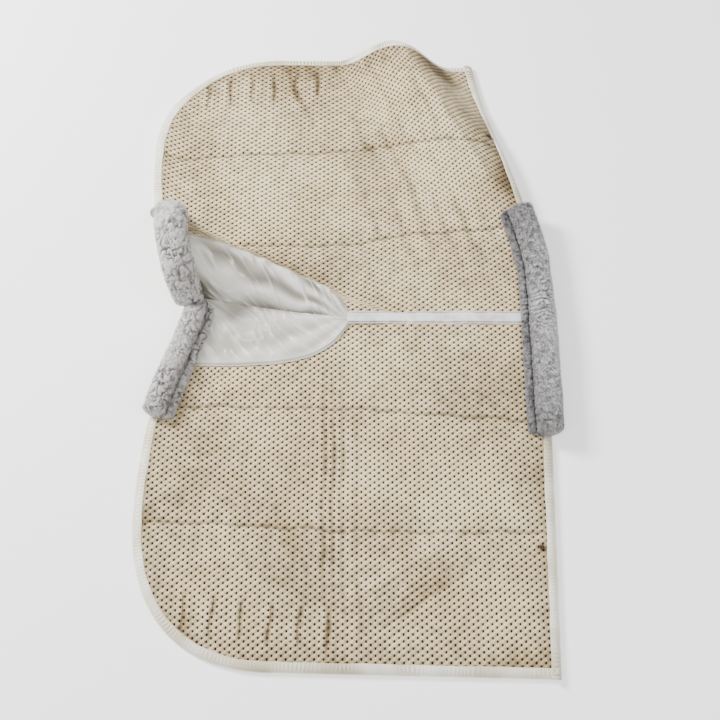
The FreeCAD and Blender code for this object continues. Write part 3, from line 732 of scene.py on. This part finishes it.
def closed_grid(top, bottom):
    """Points and faces of a closed slab from two matching grids."""
    rows, cols = top.shape[:2]
    low = rows * cols
    faces = grid_faces(rows, cols)
    faces += [[low + i for i in face[::-1]] for face in grid_faces(rows, cols)]
    border = list(range(cols)) + [r * cols + cols - 1 for r in range(1, rows)]
    border += [(rows - 1) * cols + c for c in range(cols - 2, -1, -1)]
    border += [r * cols for r in range(rows - 2, 0, -1)]
    for a, b in zip(border, border[1:] + border[:1]):
        faces.append([b, a, low + a, low + b])
    return np.concatenate([top.reshape(-1, 3), bottom.reshape(-1, 3)]), faces


def keeper_rise(side, s, q):
    """How far the outer cloth is raised over the girth keeper."""
    half_length = KEEPER_PITCH[side] * (KEEPER_ROWS - 1) / 2 + KEEPER_REACH[0]
    beyond = half_length - np.abs(s - KEEPER_S[side])
    inside = np.minimum(beyond, KEEPER_REACH[1] - np.abs(q - KEEPER_Q))
    return KEEPER_RAISE * smooth(inside / 6)


def core(side):
    """Filling seen through the holes of the lining; its near-black colour is painted shade in those holes.
    """
    s, q = flap_patch(LAYER_INSET, 130, 130)
    q[0] += SEAM_ALLOWANCE
    height = relief(side, s, q, edge_distance(s, q))[0]
    surface = SURFACES[side]
    top = on_flap(surface, s, q, height - LINING_T)
    bottom = on_flap(surface, s, q, keeper_rise(side, s, q) + CORE_LIFT - THICKNESS)
    points, faces = closed_grid(top, bottom)
    obj = mesh_object(side + "_core", points, faces)
    finish_piece(obj, CORE_MAT, "foam", side + "_foam_core")
    return bends(obj)


def shell(side):
    """Outer cloth, dimpled along the same quilting lines and turned up at the spine seam."""
    s, q = flap_patch(SHELL_INSET, 190, 190)
    height = keeper_rise(side, s, q)
    clean_and_unshaded = np.ones(s.shape)
    for drops in QUILT_LINES:
        d = q - thread_line(s, drops)
        height += 1.1 * groove(d, 4.0)
        clean_and_unshaded -= 0.25 * groove(d, 2.5)
    turned_up = np.array([THICKNESS - 2.6, THICKNESS / 2, 1.0])[:, None]
    s = np.vstack([s[:1]] * len(turned_up) + [s])
    q = np.vstack([q[:1]] * len(turned_up) + [q])
    height = np.vstack([height[:1] + turned_up, height])
    clean_and_unshaded = np.vstack([clean_and_unshaded[:1]] * len(turned_up) + [clean_and_unshaded])
    points = on_flap(SURFACES[side], s, q, height - THICKNESS + SHELL_LIFT)
    obj = grid_object(side + "_outer_cloth", points, clean_and_unshaded)
    finish_piece(obj, SHELL_MAT, "shell_cotton", side + "_outer_shell")
    return bends(obj)


# ---- bindings ----
# Section of a folded strip from its upper hem round the edge to its lower hem: inset, height.
BINDING_SECTION = [
    (14.4, -2.3), (14.1, -1.3), (13.2, -0.8), (12.2, -1.15), (10.6, -0.9), (8.6, -1.2), (6.4, -1.8),
    (4.2, -2.7), (2.2, -4.0), (0.7, -5.6), (0.0, -7.3), (0.6, -8.9), (2.2, -10.1), (5.0, -10.7),
    (9.0, -10.9), (14.0, -10.9),
]


def binding_material():
    m = Shader("satin binding", roughness=0.42, sheen=0.1, specular=0.45)
    tone = m.ramp(m.noise(14.0, 4.0), [(0.3, rgb(222, 217, 201)), (0.75, rgb(242, 238, 226))])
    m.shaded(tone, [(0.0, rgb(120, 110, 90)), (0.6, rgb(220, 212, 196)), (1.0, WHITE)])
    return m.bump(m.noise(800.0, 2.0), 0.2, 0.0004).material


def binding(side, name, edge, start, end, raised):
    """Cloth strip folded round an edge; edge(arc) gives the edge's points and inward directions."""
    surface = SURFACES[side]
    arc = np.arange(start, end, 1.1)
    point, inwards = edge(arc)
    pucker = (1.0 if side == "left" else 0.3) * (1 + 0.8 * lattice_noise(arc / 22, arc * 0, 40))
    rows, shades = [], []
    wander = 0.5 * fractal(arc, arc * 0, 24.0, 41, 2)
    for inset, height in BINDING_SECTION:
        on_top = math.exp(-((inset - 7.0) / 6.0) ** 2) if height > -5.5 else 0.15
        uneven = 2.2 * lattice_noise(arc / 17, arc * 0 + inset / 9, 42)
        wave = pucker * on_top * np.sin(2 * np.pi * arc / 5.6 + uneven)
        stitched = 0.35 * np.cos(2 * np.pi * arc / 3.3) if inset == 12.2 else 0.0
        reach = inset + wander * (inset > 8)
        place = point + inwards * reach[:, None]
        lift = raised * on_top if height > -5.5 else 0.0
        rows.append(on_flap(surface, place[:, 0], place[:, 1], height + wave + stitched + lift))
        fold_shade = (0.7 if side == "left" else 0.3) * on_top * wave / pucker.max()
        shades.append(np.clip(0.8 + 0.3 * fractal(arc, arc * 0 + inset, 50.0, 43) + fold_shade, 0, 1))
    points = np.stack(rows, 1)
    points[..., 2] = np.maximum(points[..., 2], 0.1)
    obj = grid_object(name + "_cloth", points, np.stack(shades, 1))
    finish_piece(obj, BINDING_MAT, "binding", name)
    return bends(obj)


# ---- satin patches and spine tape ----
def satin_material():
    m = Shader("satin patch", roughness=0.37, sheen=0.1, specular=0.5)
    tone = m.ramp(m.noise(8.0, 4.0), [(0.3, rgb(208, 206, 198)), (0.7, rgb(222, 220, 213))])
    m.shaded(tone, [(0.0, rgb(130, 126, 118)), (0.5, rgb(204, 200, 192)), (1.0, WHITE)])
    return m.bump(m.noise(1500.0, 2.0), 0.15, 0.0003).material


# Each patch: noise seed, then how strong its folds, fine wrinkles and their painted light and shade are.
SATIN_LOOK = {"right": (51, 1.3, 1.8, 0.2), "left": (61, 2.6, 2.6, 0.3)}


def facing(side):
    """Satin patch over the withers, creased towards the start of the spine tape."""
    seed, fold_size, wrinkle_size, shading = SATIN_LOOK[side]
    t, v = np.linspace(0, 1, 150), np.linspace(0, 1, 80)
    hem = bezier(FACING_HEM, t)[0]
    seam_q = (-4.0 if side == "left" else 0.0) - wither_rise(hem[:, 0])
    s = np.repeat(hem[:, :1], len(v), 1)
    q = seam_q[:, None] + (hem[:, 1:] - seam_q[:, None]) * v[None, :]
    s = s - (1 - t[:, None]) * 14 * (1 - v[None, :])

    reach = np.hypot(s - TAPE_START_S, q)
    angle = np.arctan2(q + 6, TAPE_START_S - s + 4)
    fade = np.clip(reach / 60, 0, 1) * np.clip((1 - v[None, :]) * 5, 0.1, 1)
    folds = fold_size * np.sin(angle * 16 + 2.0 * fractal(s, q, 70.0, seed, 2))
    turned = fractal(s, q, 60.0, seed + 5, 1)
    slanted = (s + q * (0.8 if side == "left" else -0.9)) + 14 * turned
    sharp = 1 - np.abs(fractal(slanted, q * 0.35 + 9 * turned, 13.0, seed + 4, 2))
    wrinkle = wrinkle_size * sharp ** 7

    hem_line = q - (hem[:, 1:] - 3.0)
    height = relief(side, s, q, edge_distance(s, q))[0]
    height = np.maximum(height, -1.0) + 2.4 + fade * (1.0 + folds * 0.8 + wrinkle)
    height = height - 0.6 * groove(hem_line, 1.2) + 0.4 * groove(hem_line + 3, 2.0)
    height[:, -1] -= 0.9
    height[0] -= 0.9
    points = on_flap(SURFACES[side], s, q, height)
    # Painted light on the crests of folds and wrinkles, painted shade in their valleys; darker along the
    # sunk hem line.
    fold_light_and_shade = shading * fade * (folds * 0.7 + wrinkle - 0.7)
    shade = 0.82 + fold_light_and_shade - 0.6 * groove(hem_line, 1.2) + 0.08 * fractal(s, q, 60.0, seed + 8)
    obj = grid_object(side + "_satin_patch", points, np.clip(shade, 0, 1))
    finish_piece(obj, SATIN_MAT, "satin", side + "_wither_facing")
    return bends(obj)


def tape_material():
    m = Shader("spine tape", roughness=0.5, sheen=0.1, specular=0.4)
    tone = m.ramp(m.noise(18.0, 3.0), [(0.3, rgb(218, 214, 213)), (0.75, rgb(238, 234, 235))])
    m.shaded(tone, [(0.0, rgb(128, 120, 112)), (1.0, WHITE)])
    return m.bump(m.noise(1100.0, 2.0), 0.3, 0.0004).material


TAPE_END_S, TAPE_STITCH_AT, TAPE_LENGTH = 262.0, 8.6, 0.287


def spine_tape():
    """Tape over the spine seam with a stitch line along each side, puckered at the stitches."""
    along = np.arange(TAPE_START_S - 4, TAPE_END_S, 1.1)
    s, across = np.meshgrid(along, np.linspace(-TAPE_W / 2, TAPE_W / 2, 23), indexing="ij")
    across_real = across + 0.5 * fractal(s, across * 0, 40.0, 81, 2)
    to_stitch = np.abs(across) - TAPE_STITCH_AT
    stitch = groove(to_stitch, 0.9)
    pucker = np.sin(2 * np.pi * s / 6.1 + 2 * lattice_noise(s / 20, across * 0, 83))
    height = 2.9 - 1.9 * (np.abs(across) / (TAPE_W / 2)) ** 6
    height = height - 0.55 * stitch * (1 + np.cos(2 * np.pi * s / STITCH_PITCH)) / 2
    height = height - 0.35 * stitch + 0.35 * fractal(s, across, 22.0, 82, 3)
    height = height + 0.25 * pucker * groove(to_stitch, 3.0)
    shade = np.clip(0.95 - stitch + 0.3 * fractal(s, across, 14.0, 84, 3), 0, 1)
    obj = grid_object("spine_tape_cloth", on_pad(s, across_real, height), shade)
    finish_piece(obj, TAPE_MAT, "satin", "spine_tape")
    return bends(obj)


# ---- fleece rolls ----
ROLL_H, FLANGE_W, FLANGE_H = 29.0, 12.0, 9.0
FRONT_ROLL_W, REAR_ROLL_W = 45.0, 51.0
FRONT_ROLL_INSET, REAR_ROLL_S, REAR_ROLL_LEAN = 15.0, 270.0, 15.0
ROLL_ROUNDING = 8.0
RIGHT_ROLL_ENDS, LEFT_ROLL_ENDS, REAR_ROLL_ENDS = (-32.0, 170.0), (-34.0, 214.0), (-198.0, 208.0)
REAR_LEAN_ENDS = 216.0
TUCK_Q, TUCK_RUN, TUCK_SHARE = -2.0, 22.0, 0.72    # the right roll flattens to pass beneath the left one
LEFT_ROLL_SHIFT, LEFT_SHIFT_FROM, LEFT_SHIFT_RUN = 5.0, 40.0, 90.0
LEFT_ROLL_EXTRA_W, QUIET_FROM, QUIET_RUN = 3.0, 112.0, 26.0
SQUEEZE_AT, SQUEEZE_RUN = 12.0, 34.0
BULGE_POINTS, FLANGE_POINTS, FOOT_POINTS = 64, 20, 12


def roll_section(width, flange):
    """Section from the outer foot over the bulge, across the crease and flange, and back beneath."""
    bulge_w = width - (FLANGE_W if flange else 0)
    centre = (bulge_w - width) / 2
    turn = np.linspace(np.pi * 1.12, 0.1 if flange else -0.12 * np.pi, BULGE_POINTS)
    line = np.stack([centre + bulge_w / 2 * np.cos(turn), ROLL_H * (0.47 + 0.53 * np.sin(turn))], 1)
    if flange:
        turn = np.linspace(np.pi * 0.85, -0.3, FLANGE_POINTS)
        x = width / 2 - FLANGE_W / 2 * (1 - np.cos(turn))
        line = np.concatenate([line, np.stack([x, 1 + FLANGE_H * np.clip(np.sin(turn), 0, 1) ** 0.8], 1)])
    foot = np.linspace(line[-1], line[0], FOOT_POINTS + 2)[1:-1]
    foot[:, 1] = np.maximum(0.6, foot[:, 1] * 0.3)
    return np.concatenate([line, foot])


def roll_points(surface, places, inner, width, flange, tall):
    """Rings of points along a roll, its own coordinates, and the outward directions."""
    section = roll_section(width, flange)
    level = np.zeros(len(places))
    base = surface(places[:, 0], places[:, 1], level)
    beside = surface(places[:, 0] + inner * 3, places[:, 1], level) - base
    along = unit(np.gradient(base, axis=0))
    beside = unit(beside - along * (beside * along).sum(1, keepdims=True))
    above = np.cross(beside, along)
    upwards = surface(places[:, 0], places[:, 1], level + 1) - base
    above *= np.sign((above * upwards).sum(1, keepdims=True))
    arc = arc_length(base)
    end = np.clip(np.minimum(arc, arc[-1] - arc) / ROLL_ROUNDING, 0, 1)
    scale = np.sqrt(np.clip(1 - (1 - end) ** 2, 0.02, 1))
    girth = (scale * (1 + 0.05 * fractal(arc, arc * 0, 60.0, 90, 2)))[:, None]
    x = section[None, :, 0] * (0.25 + 0.75 * girth)
    z = section[None, :, 1] * girth * tall[:, None]
    tangent = np.roll(section, -1, 0) - np.roll(section, 1, 0)
    out = unit(np.stack([-tangent[:, 1], tangent[:, 0]], 1))
    points = base[:, None] + beside[:, None] * x[..., None] + above[:, None] * z[..., None]
    outward = beside[:, None] * out[None, :, :1] + above[:, None] * out[None, :, 1:]
    return points, outward, arc, arc_length(section)


def fleece_material(name, dark, light, tip):
    """Curled pile: painted shade in its cracks, light on its curls and lighter still at the tips."""
    m = Shader(name, roughness=0.95, sheen=0.5, specular=0.08)
    tone = m.ramp(m.shade(), [(0.0, dark), (0.55, light), (1.0, tip)])
    m.colour(m.mix(0.22, tone, m.ramp(m.noise(160.0, 4.0), [(0.35, dark), (0.65, tip)])))
    return m.bump(m.noise(600.0, 4.0), 0.7, 0.002).material


def pile(name, points, outward, shade, count, length, material):
    """Short bent fibres standing on a roll's surface, each a thin tapering strip."""
    rows, cols = shade.shape
    r, c = rng.random(count) * (rows - 1), rng.random(count) * cols
    r0, c0 = r.astype(int), c.astype(int) % cols
    share = (r - r0)[:, None]
    root = points[r0, c0] * (1 - share) + points[np.minimum(r0 + 1, rows - 1), c0] * share
    step = points[r0, (c0 + 1) % cols] - points[r0, c0]
    root = root + step * (c - c.astype(int))[:, None]
    up = outward[r0, c0]
    lean = rng.normal(size=(count, 3))
    lean = unit(lean - up * (lean * up).sum(1, keepdims=True))
    side = np.cross(up, lean)
    tall = length * (0.6 + 0.8 * rng.random(count))[:, None]
    width = 0.32
    middle = root + up * tall * 0.55 + lean * tall * 0.35
    tip = root + up * tall * 0.62 + lean * tall * 0.95
    strand = np.stack([root - side * width, root + side * width, middle + side * width * 0.8,
                       middle - side * width * 0.8, tip], 1)
    first = np.arange(count)[:, None] * 5
    quads = (first + np.array([0, 1, 2, 3])).tolist()
    tris = (first + np.array([3, 2, 4])).tolist()
    tone = np.repeat(np.clip(shade[r0, c0] + 0.15 * rng.normal(size=count), 0, 1), 5)
    obj = mesh_object(name, strand.reshape(-1, 3), quads + tris, tone)
    obj.data.materials.append(material)
    return obj


def curls(along, around, size, seed):
    """Wandering cracks between fleece curls: 1 in a crack, 0 between."""
    u = along + 0.6 * size * fractal(along, around, size * 1.3, seed, 2)
    v = around + 0.6 * size * fractal(along, around, size * 1.3, seed + 3, 2)
    first = lattice_noise(u / size, v / (size * 0.8), seed + 6)
    second = lattice_noise(u / (size * 0.8) + 9, v / size + 5, seed + 7)
    return np.maximum(np.exp(-(first / 0.15) ** 2), 0.85 * np.exp(-(second / 0.12) ** 2))


def roll(name, point, places, inner, width, flange, curl, depth, material, seed, nodes,
         tall=1.0, quiet=0.0, pinched=0.0, painted_side_light=0.1, fibre=1.2):
    """Fleece roll. quiet is how smooth its pile is, and pinched how squeezed, at each station;
    painted_side_light is how much painted light brightens the pile's outer side and painted shade darkens
    it beside the flange; it also darkens the pile towards both ends."""
    tall, quiet, pinched = (value * np.ones(len(places)) for value in (tall, quiet, pinched))
    points, outward, arc, ring_arc = roll_points(point, places, inner, width, flange, tall)
    along, around = np.meshgrid(arc, ring_arc, indexing="ij")
    crack = curls(along, around, curl, seed) * (1 - 0.93 * quiet[:, None])
    crack = crack * np.clip(0.85 + 0.6 * lattice_noise(along / 25, around / 25, seed + 9), 0.45, 1)
    rough = fractal(along, around, curl / 2.2, seed + 2, 3)
    rise = depth * (0.5 - 1.5 * crack) + 0.35 * depth * rough
    # Painted shade in the cracks between curls; the pile is also darker where it is quiet.
    tone = 0.84 - 0.95 * crack + 0.14 * rough - 0.26 * quiet[:, None]
    squeeze = np.sin(along / 1.15 + 3.0 * lattice_noise(along / 9, around / 7, seed + 5))
    squeeze = squeeze * pinched[:, None] * (0.6 + 0.5 * lattice_noise(along / 6, around / 14, seed + 6))
    rise = rise + 1.2 * squeeze
    # Painted light on the crests of the pinched wrinkles and painted shade in their troughs.
    tone = tone + 0.4 * squeeze
    to_end = np.minimum(along, arc[-1] - along)
    # Painted light on the outer side, painted shade beside the flange, and darker towards both ends.
    tone = tone + 2 * painted_side_light * (0.55 - around / ring_arc[BULGE_POINTS - 1]) - painted_side_light * groove(to_end, 60.0)
    if flange:
        crease = groove(around - ring_arc[BULGE_POINTS - 1], 2.0)
        rise = rise * (1 - 0.7 * crease)
        # Painted shade in the crease beside the flange.
        tone = tone - 0.7 * crease
    rise[:, -FOOT_POINTS:] = 0
    surface_points = points + outward * rise[..., None]
    shade = np.clip(tone, 0, 1)
    rows, cols = shade.shape
    end_middles = [surface_points[0].mean(0), surface_points[-1].mean(0)]
    flat = np.concatenate([surface_points.reshape(-1, 3), end_middles])
    faces = grid_faces(rows, cols, close=True)
    last = (rows - 1) * cols
    for k in range(cols):
        faces.append([(k + 1) % cols, k, rows * cols])
        faces.append([last + k, last + (k + 1) % cols, rows * cols + 1])
    obj = mesh_object(name, flat, faces, np.append(shade.ravel(), [0.5, 0.5]))
    finish_piece(obj, material, "fleece", *nodes)
    bends(obj)
    shown = slice(0, -FOOT_POINTS)
    fibres = pile(name + "_pile", surface_points[:, shown], outward[:, shown], shade[:, shown],
                  int(arc[-1] * 45), fibre, material)
    bends(fibres)
    return obj


def edge_places(start, end):
    """Places along the front rolls' centre line between two drops."""
    point, inwards = edge_at(np.arange(0, EDGE_ARC[300], 1.2))
    line = point + inwards * FRONT_ROLL_INSET
    lead = np.arange(line[0, 1] - 30, line[0, 1], 1.2)
    slope = (line[6, 0] - line[0, 0]) / (line[6, 1] - line[0, 1])
    line = np.concatenate([np.stack([line[0, 0] + slope * (lead - line[0, 1]), lead], 1), line])
    return line[(line[:, 1] >= start) & (line[:, 1] <= end)]


def front_rolls():
    """The left roll runs on past the withers; the right one passes beneath it."""
    places = edge_places(*RIGHT_ROLL_ENDS)
    above = places[:, 1] < TUCK_Q
    straight = front_pull(places[~above][:1, 0], places[~above][:1, 1])
    places[above, 0] += straight - front_pull(places[above, 0], places[above, 1])
    tall = 1 - TUCK_SHARE * smooth((TUCK_Q - places[:, 1]) / TUCK_RUN)
    roll("right_front_roll", partial(on_flap, right_surface), places, inner=1, width=FRONT_ROLL_W,
         flange=True, curl=7.0, depth=2.0, material=FRONT_FLEECE, seed=101, tall=tall,
         nodes=["right_front_roll_cover", "right_front_roll_foam"])
    places = edge_places(*LEFT_ROLL_ENDS)
    places[:, 0] += LEFT_ROLL_SHIFT * smooth((places[:, 1] - LEFT_SHIFT_FROM) / LEFT_SHIFT_RUN)
    beyond = smooth((places[:, 1] - QUIET_FROM) / QUIET_RUN)
    roll("left_front_roll", partial(on_flap, left_surface), places, inner=1,
         width=FRONT_ROLL_W + LEFT_ROLL_EXTRA_W, flange=False, curl=8.0, depth=2.2,
         material=FRONT_FLEECE, seed=111, tall=1 + 0.08 * (1 - beyond), quiet=beyond,
         nodes=["left_front_roll_cover", "left_front_roll_foam"])


def rear_roll():
    """One roll across both flaps, squeezed where it crosses the spine."""
    across = np.arange(*REAR_ROLL_ENDS, 1.2)
    lean = REAR_ROLL_LEAN * (np.maximum(0, across) / REAR_LEAN_ENDS) ** 2
    places = np.stack([REAR_ROLL_S - lean, across], 1)
    roll("rear_roll", on_pad, places, inner=-1, width=REAR_ROLL_W, flange=True, curl=4.2, depth=1.1,
         material=REAR_FLEECE, seed=121, quiet=0.25, pinched=groove(across - SQUEEZE_AT, SQUEEZE_RUN),
         painted_side_light=0.28, fibre=1.8,
         nodes=["rear_roll_cover", "right_rear_roll_foam", "left_rear_roll_foam"])


# ---- threads, keepers, rivets ----
def stitches(name, side, lines, material, width, lift, length):
    """Short threads laid along lines of flat-pattern points."""
    surface = SURFACES[side]
    points, faces = [], []
    for line in lines:
        line = np.asarray(line, float)
        arc = arc_length(line)
        starts = np.arange(1.0, arc[-1] - 3.0, STITCH_PITCH)
        stations = starts[:, None] + length * np.array([0.0, 0.25, 0.75, 1.0])
        s = np.interp(stations, arc, line[:, 0])
        q = np.interp(stations, arc, line[:, 1])
        height = relief(side, s, q, edge_distance(s, q))[0]
        bow = np.array([-0.3, 0.35, 0.35, -0.3]) + lift
        middle = on_flap(surface, s, q, height + bow)
        up = normals(surface, s, q)
        across = np.cross(unit(middle[:, -1:] - middle[:, :1]), up) * width
        thick = up * width * 0.8
        ring = np.stack([middle - across, middle + thick, middle + across], 2)
        base = sum(len(p) for p in points)
        points.append(ring.reshape(-1, 3))
        for i in range(len(starts)):
            for k in range(3):
                for j in range(2):
                    a = base + (i * 4 + k) * 3 + j
                    faces.append([a, a + 1, a + 4, a + 3])
    obj = mesh_object(name, np.concatenate(points), faces)
    finish_piece(obj, material, "thread")
    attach(obj, side + "_flap")
    return obj


def thread_material(name, colour):
    m = Shader(name, roughness=0.7, specular=0.3)
    m.colour(m.mix(m.noise(300.0), colour, (colour[0] * 0.6, colour[1] * 0.6, colour[2] * 0.6, 1)))
    return m.material


def keeper_rows(side):
    """Lines of a flap's keeper stitching."""
    rows = []
    for i in range(KEEPER_ROWS):
        middle = KEEPER_Q + ROW_STEP * i
        q = np.linspace(middle - ROW_LENGTH / 2, middle + ROW_LENGTH / 2, 40)
        rows.append(np.stack([row_line(side, i, q), q], 1))
    return rows


def quilt_rows():
    """Lines of the two quilting seams."""
    s = np.arange(*QUILT_ENDS, 2.0)
    return [np.stack([s, thread_line(s, drops)], 1) for drops in QUILT_LINES]


def webbing_material():
    m = Shader("webbing", roughness=0.8, specular=0.2)
    tone = m.ramp(m.noise(60.0, 3.0), [(0.3, rgb(196, 188, 170)), (0.7, rgb(220, 214, 200))])
    weave = m.pattern("ShaderNodeTexWave", Scale=260.0, Distortion=1.0)
    return m.colour(tone).bump(weave, 0.6, 0.0006).material


def keeper(side):
    """Webbing laid flat beneath the pad and pinched at each stitch row."""
    low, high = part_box(side + "_girth_keeper")
    x, y = np.meshgrid(np.linspace(low.x, high.x, 180), np.linspace(low.y, high.y, 30), indexing="ij")
    pitch = KEEPER_PITCH[side] / 1000
    first = (low.x + high.x) / 2 - pitch * (KEEPER_ROWS - 1) / 2
    to_row = np.minimum.reduce([np.abs(x - first - pitch * i) for i in range(KEEPER_ROWS)])
    share = np.clip(to_row / 0.008, 0, 1)
    top = np.stack([x, y, 0.0007 + 0.0007 * share], -1) * 1000 + CENTRE
    bottom = np.stack([x, y, 0.00055 - 0.0005 * share], -1) * 1000 + CENTRE
    points, faces = closed_grid(top, bottom)
    obj = mesh_object(side + "_keeper_webbing", points, faces)
    finish_piece(obj, WEBBING_MAT, "webbing", side + "_girth_keeper")
    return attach(obj, side + "_flap")


def metal_material():
    m = Shader("dark rivet", roughness=0.4, specular=0.5)
    m.surface.inputs["Metallic"].default_value = 0.8
    m.colour(m.ramp(m.noise(300.0, 3.0), [(0.3, rgb(52, 38, 28)), (0.7, rgb(92, 72, 54))]))
    return m.bump(m.noise(900.0), 0.3, 0.0004).material


# ---- build ----
CORE_MAT = core_material()
SHELL_MAT = shell_material()
BINDING_MAT = binding_material()
SATIN_MAT = satin_material()
TAPE_MAT = tape_material()
WEBBING_MAT = webbing_material()
METAL_MAT = metal_material()
DARK_THREAD = thread_material("dark thread", rgb(104, 90, 72))
QUILT_THREAD = thread_material("quilting thread", rgb(150, 136, 114))
FRONT_FLEECE = fleece_material("front fleece", rgb(64, 59, 56), rgb(170, 166, 163), rgb(216, 213, 212))
REAR_FLEECE = fleece_material("rear fleece", rgb(50, 46, 44), rgb(136, 133, 131), rgb(216, 217, 222))

for side in ("right", "left"):
    core(side)
    shell(side)
    lining(side)
    facing(side)
    keeper(side)
    binding(side, side + "_edge_binding", edge_at, start=3.0, end=EDGE_ARC[-1] - 3, raised=0.0)
    binding(side, side + "_rear_binding", rear_at, start=1.0, end=REAR_LENGTH, raised=0.7)
    threads = stitches(side + "_keeper_threads", side, keeper_rows(side), DARK_THREAD,
                       width=0.6, lift=1.0, length=3.0)
    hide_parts(side + "_keeper_stitching")
    stitches(side + "_quilting_threads", side, quilt_rows(), QUILT_THREAD,
             width=0.35, lift=0.5, length=2.4)
    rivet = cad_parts[side + "_corner_rivet"]
    rivet.data.materials.clear()
    rivet.data.materials.append(METAL_MAT)
spine_tape()
front_rolls()
rear_roll()
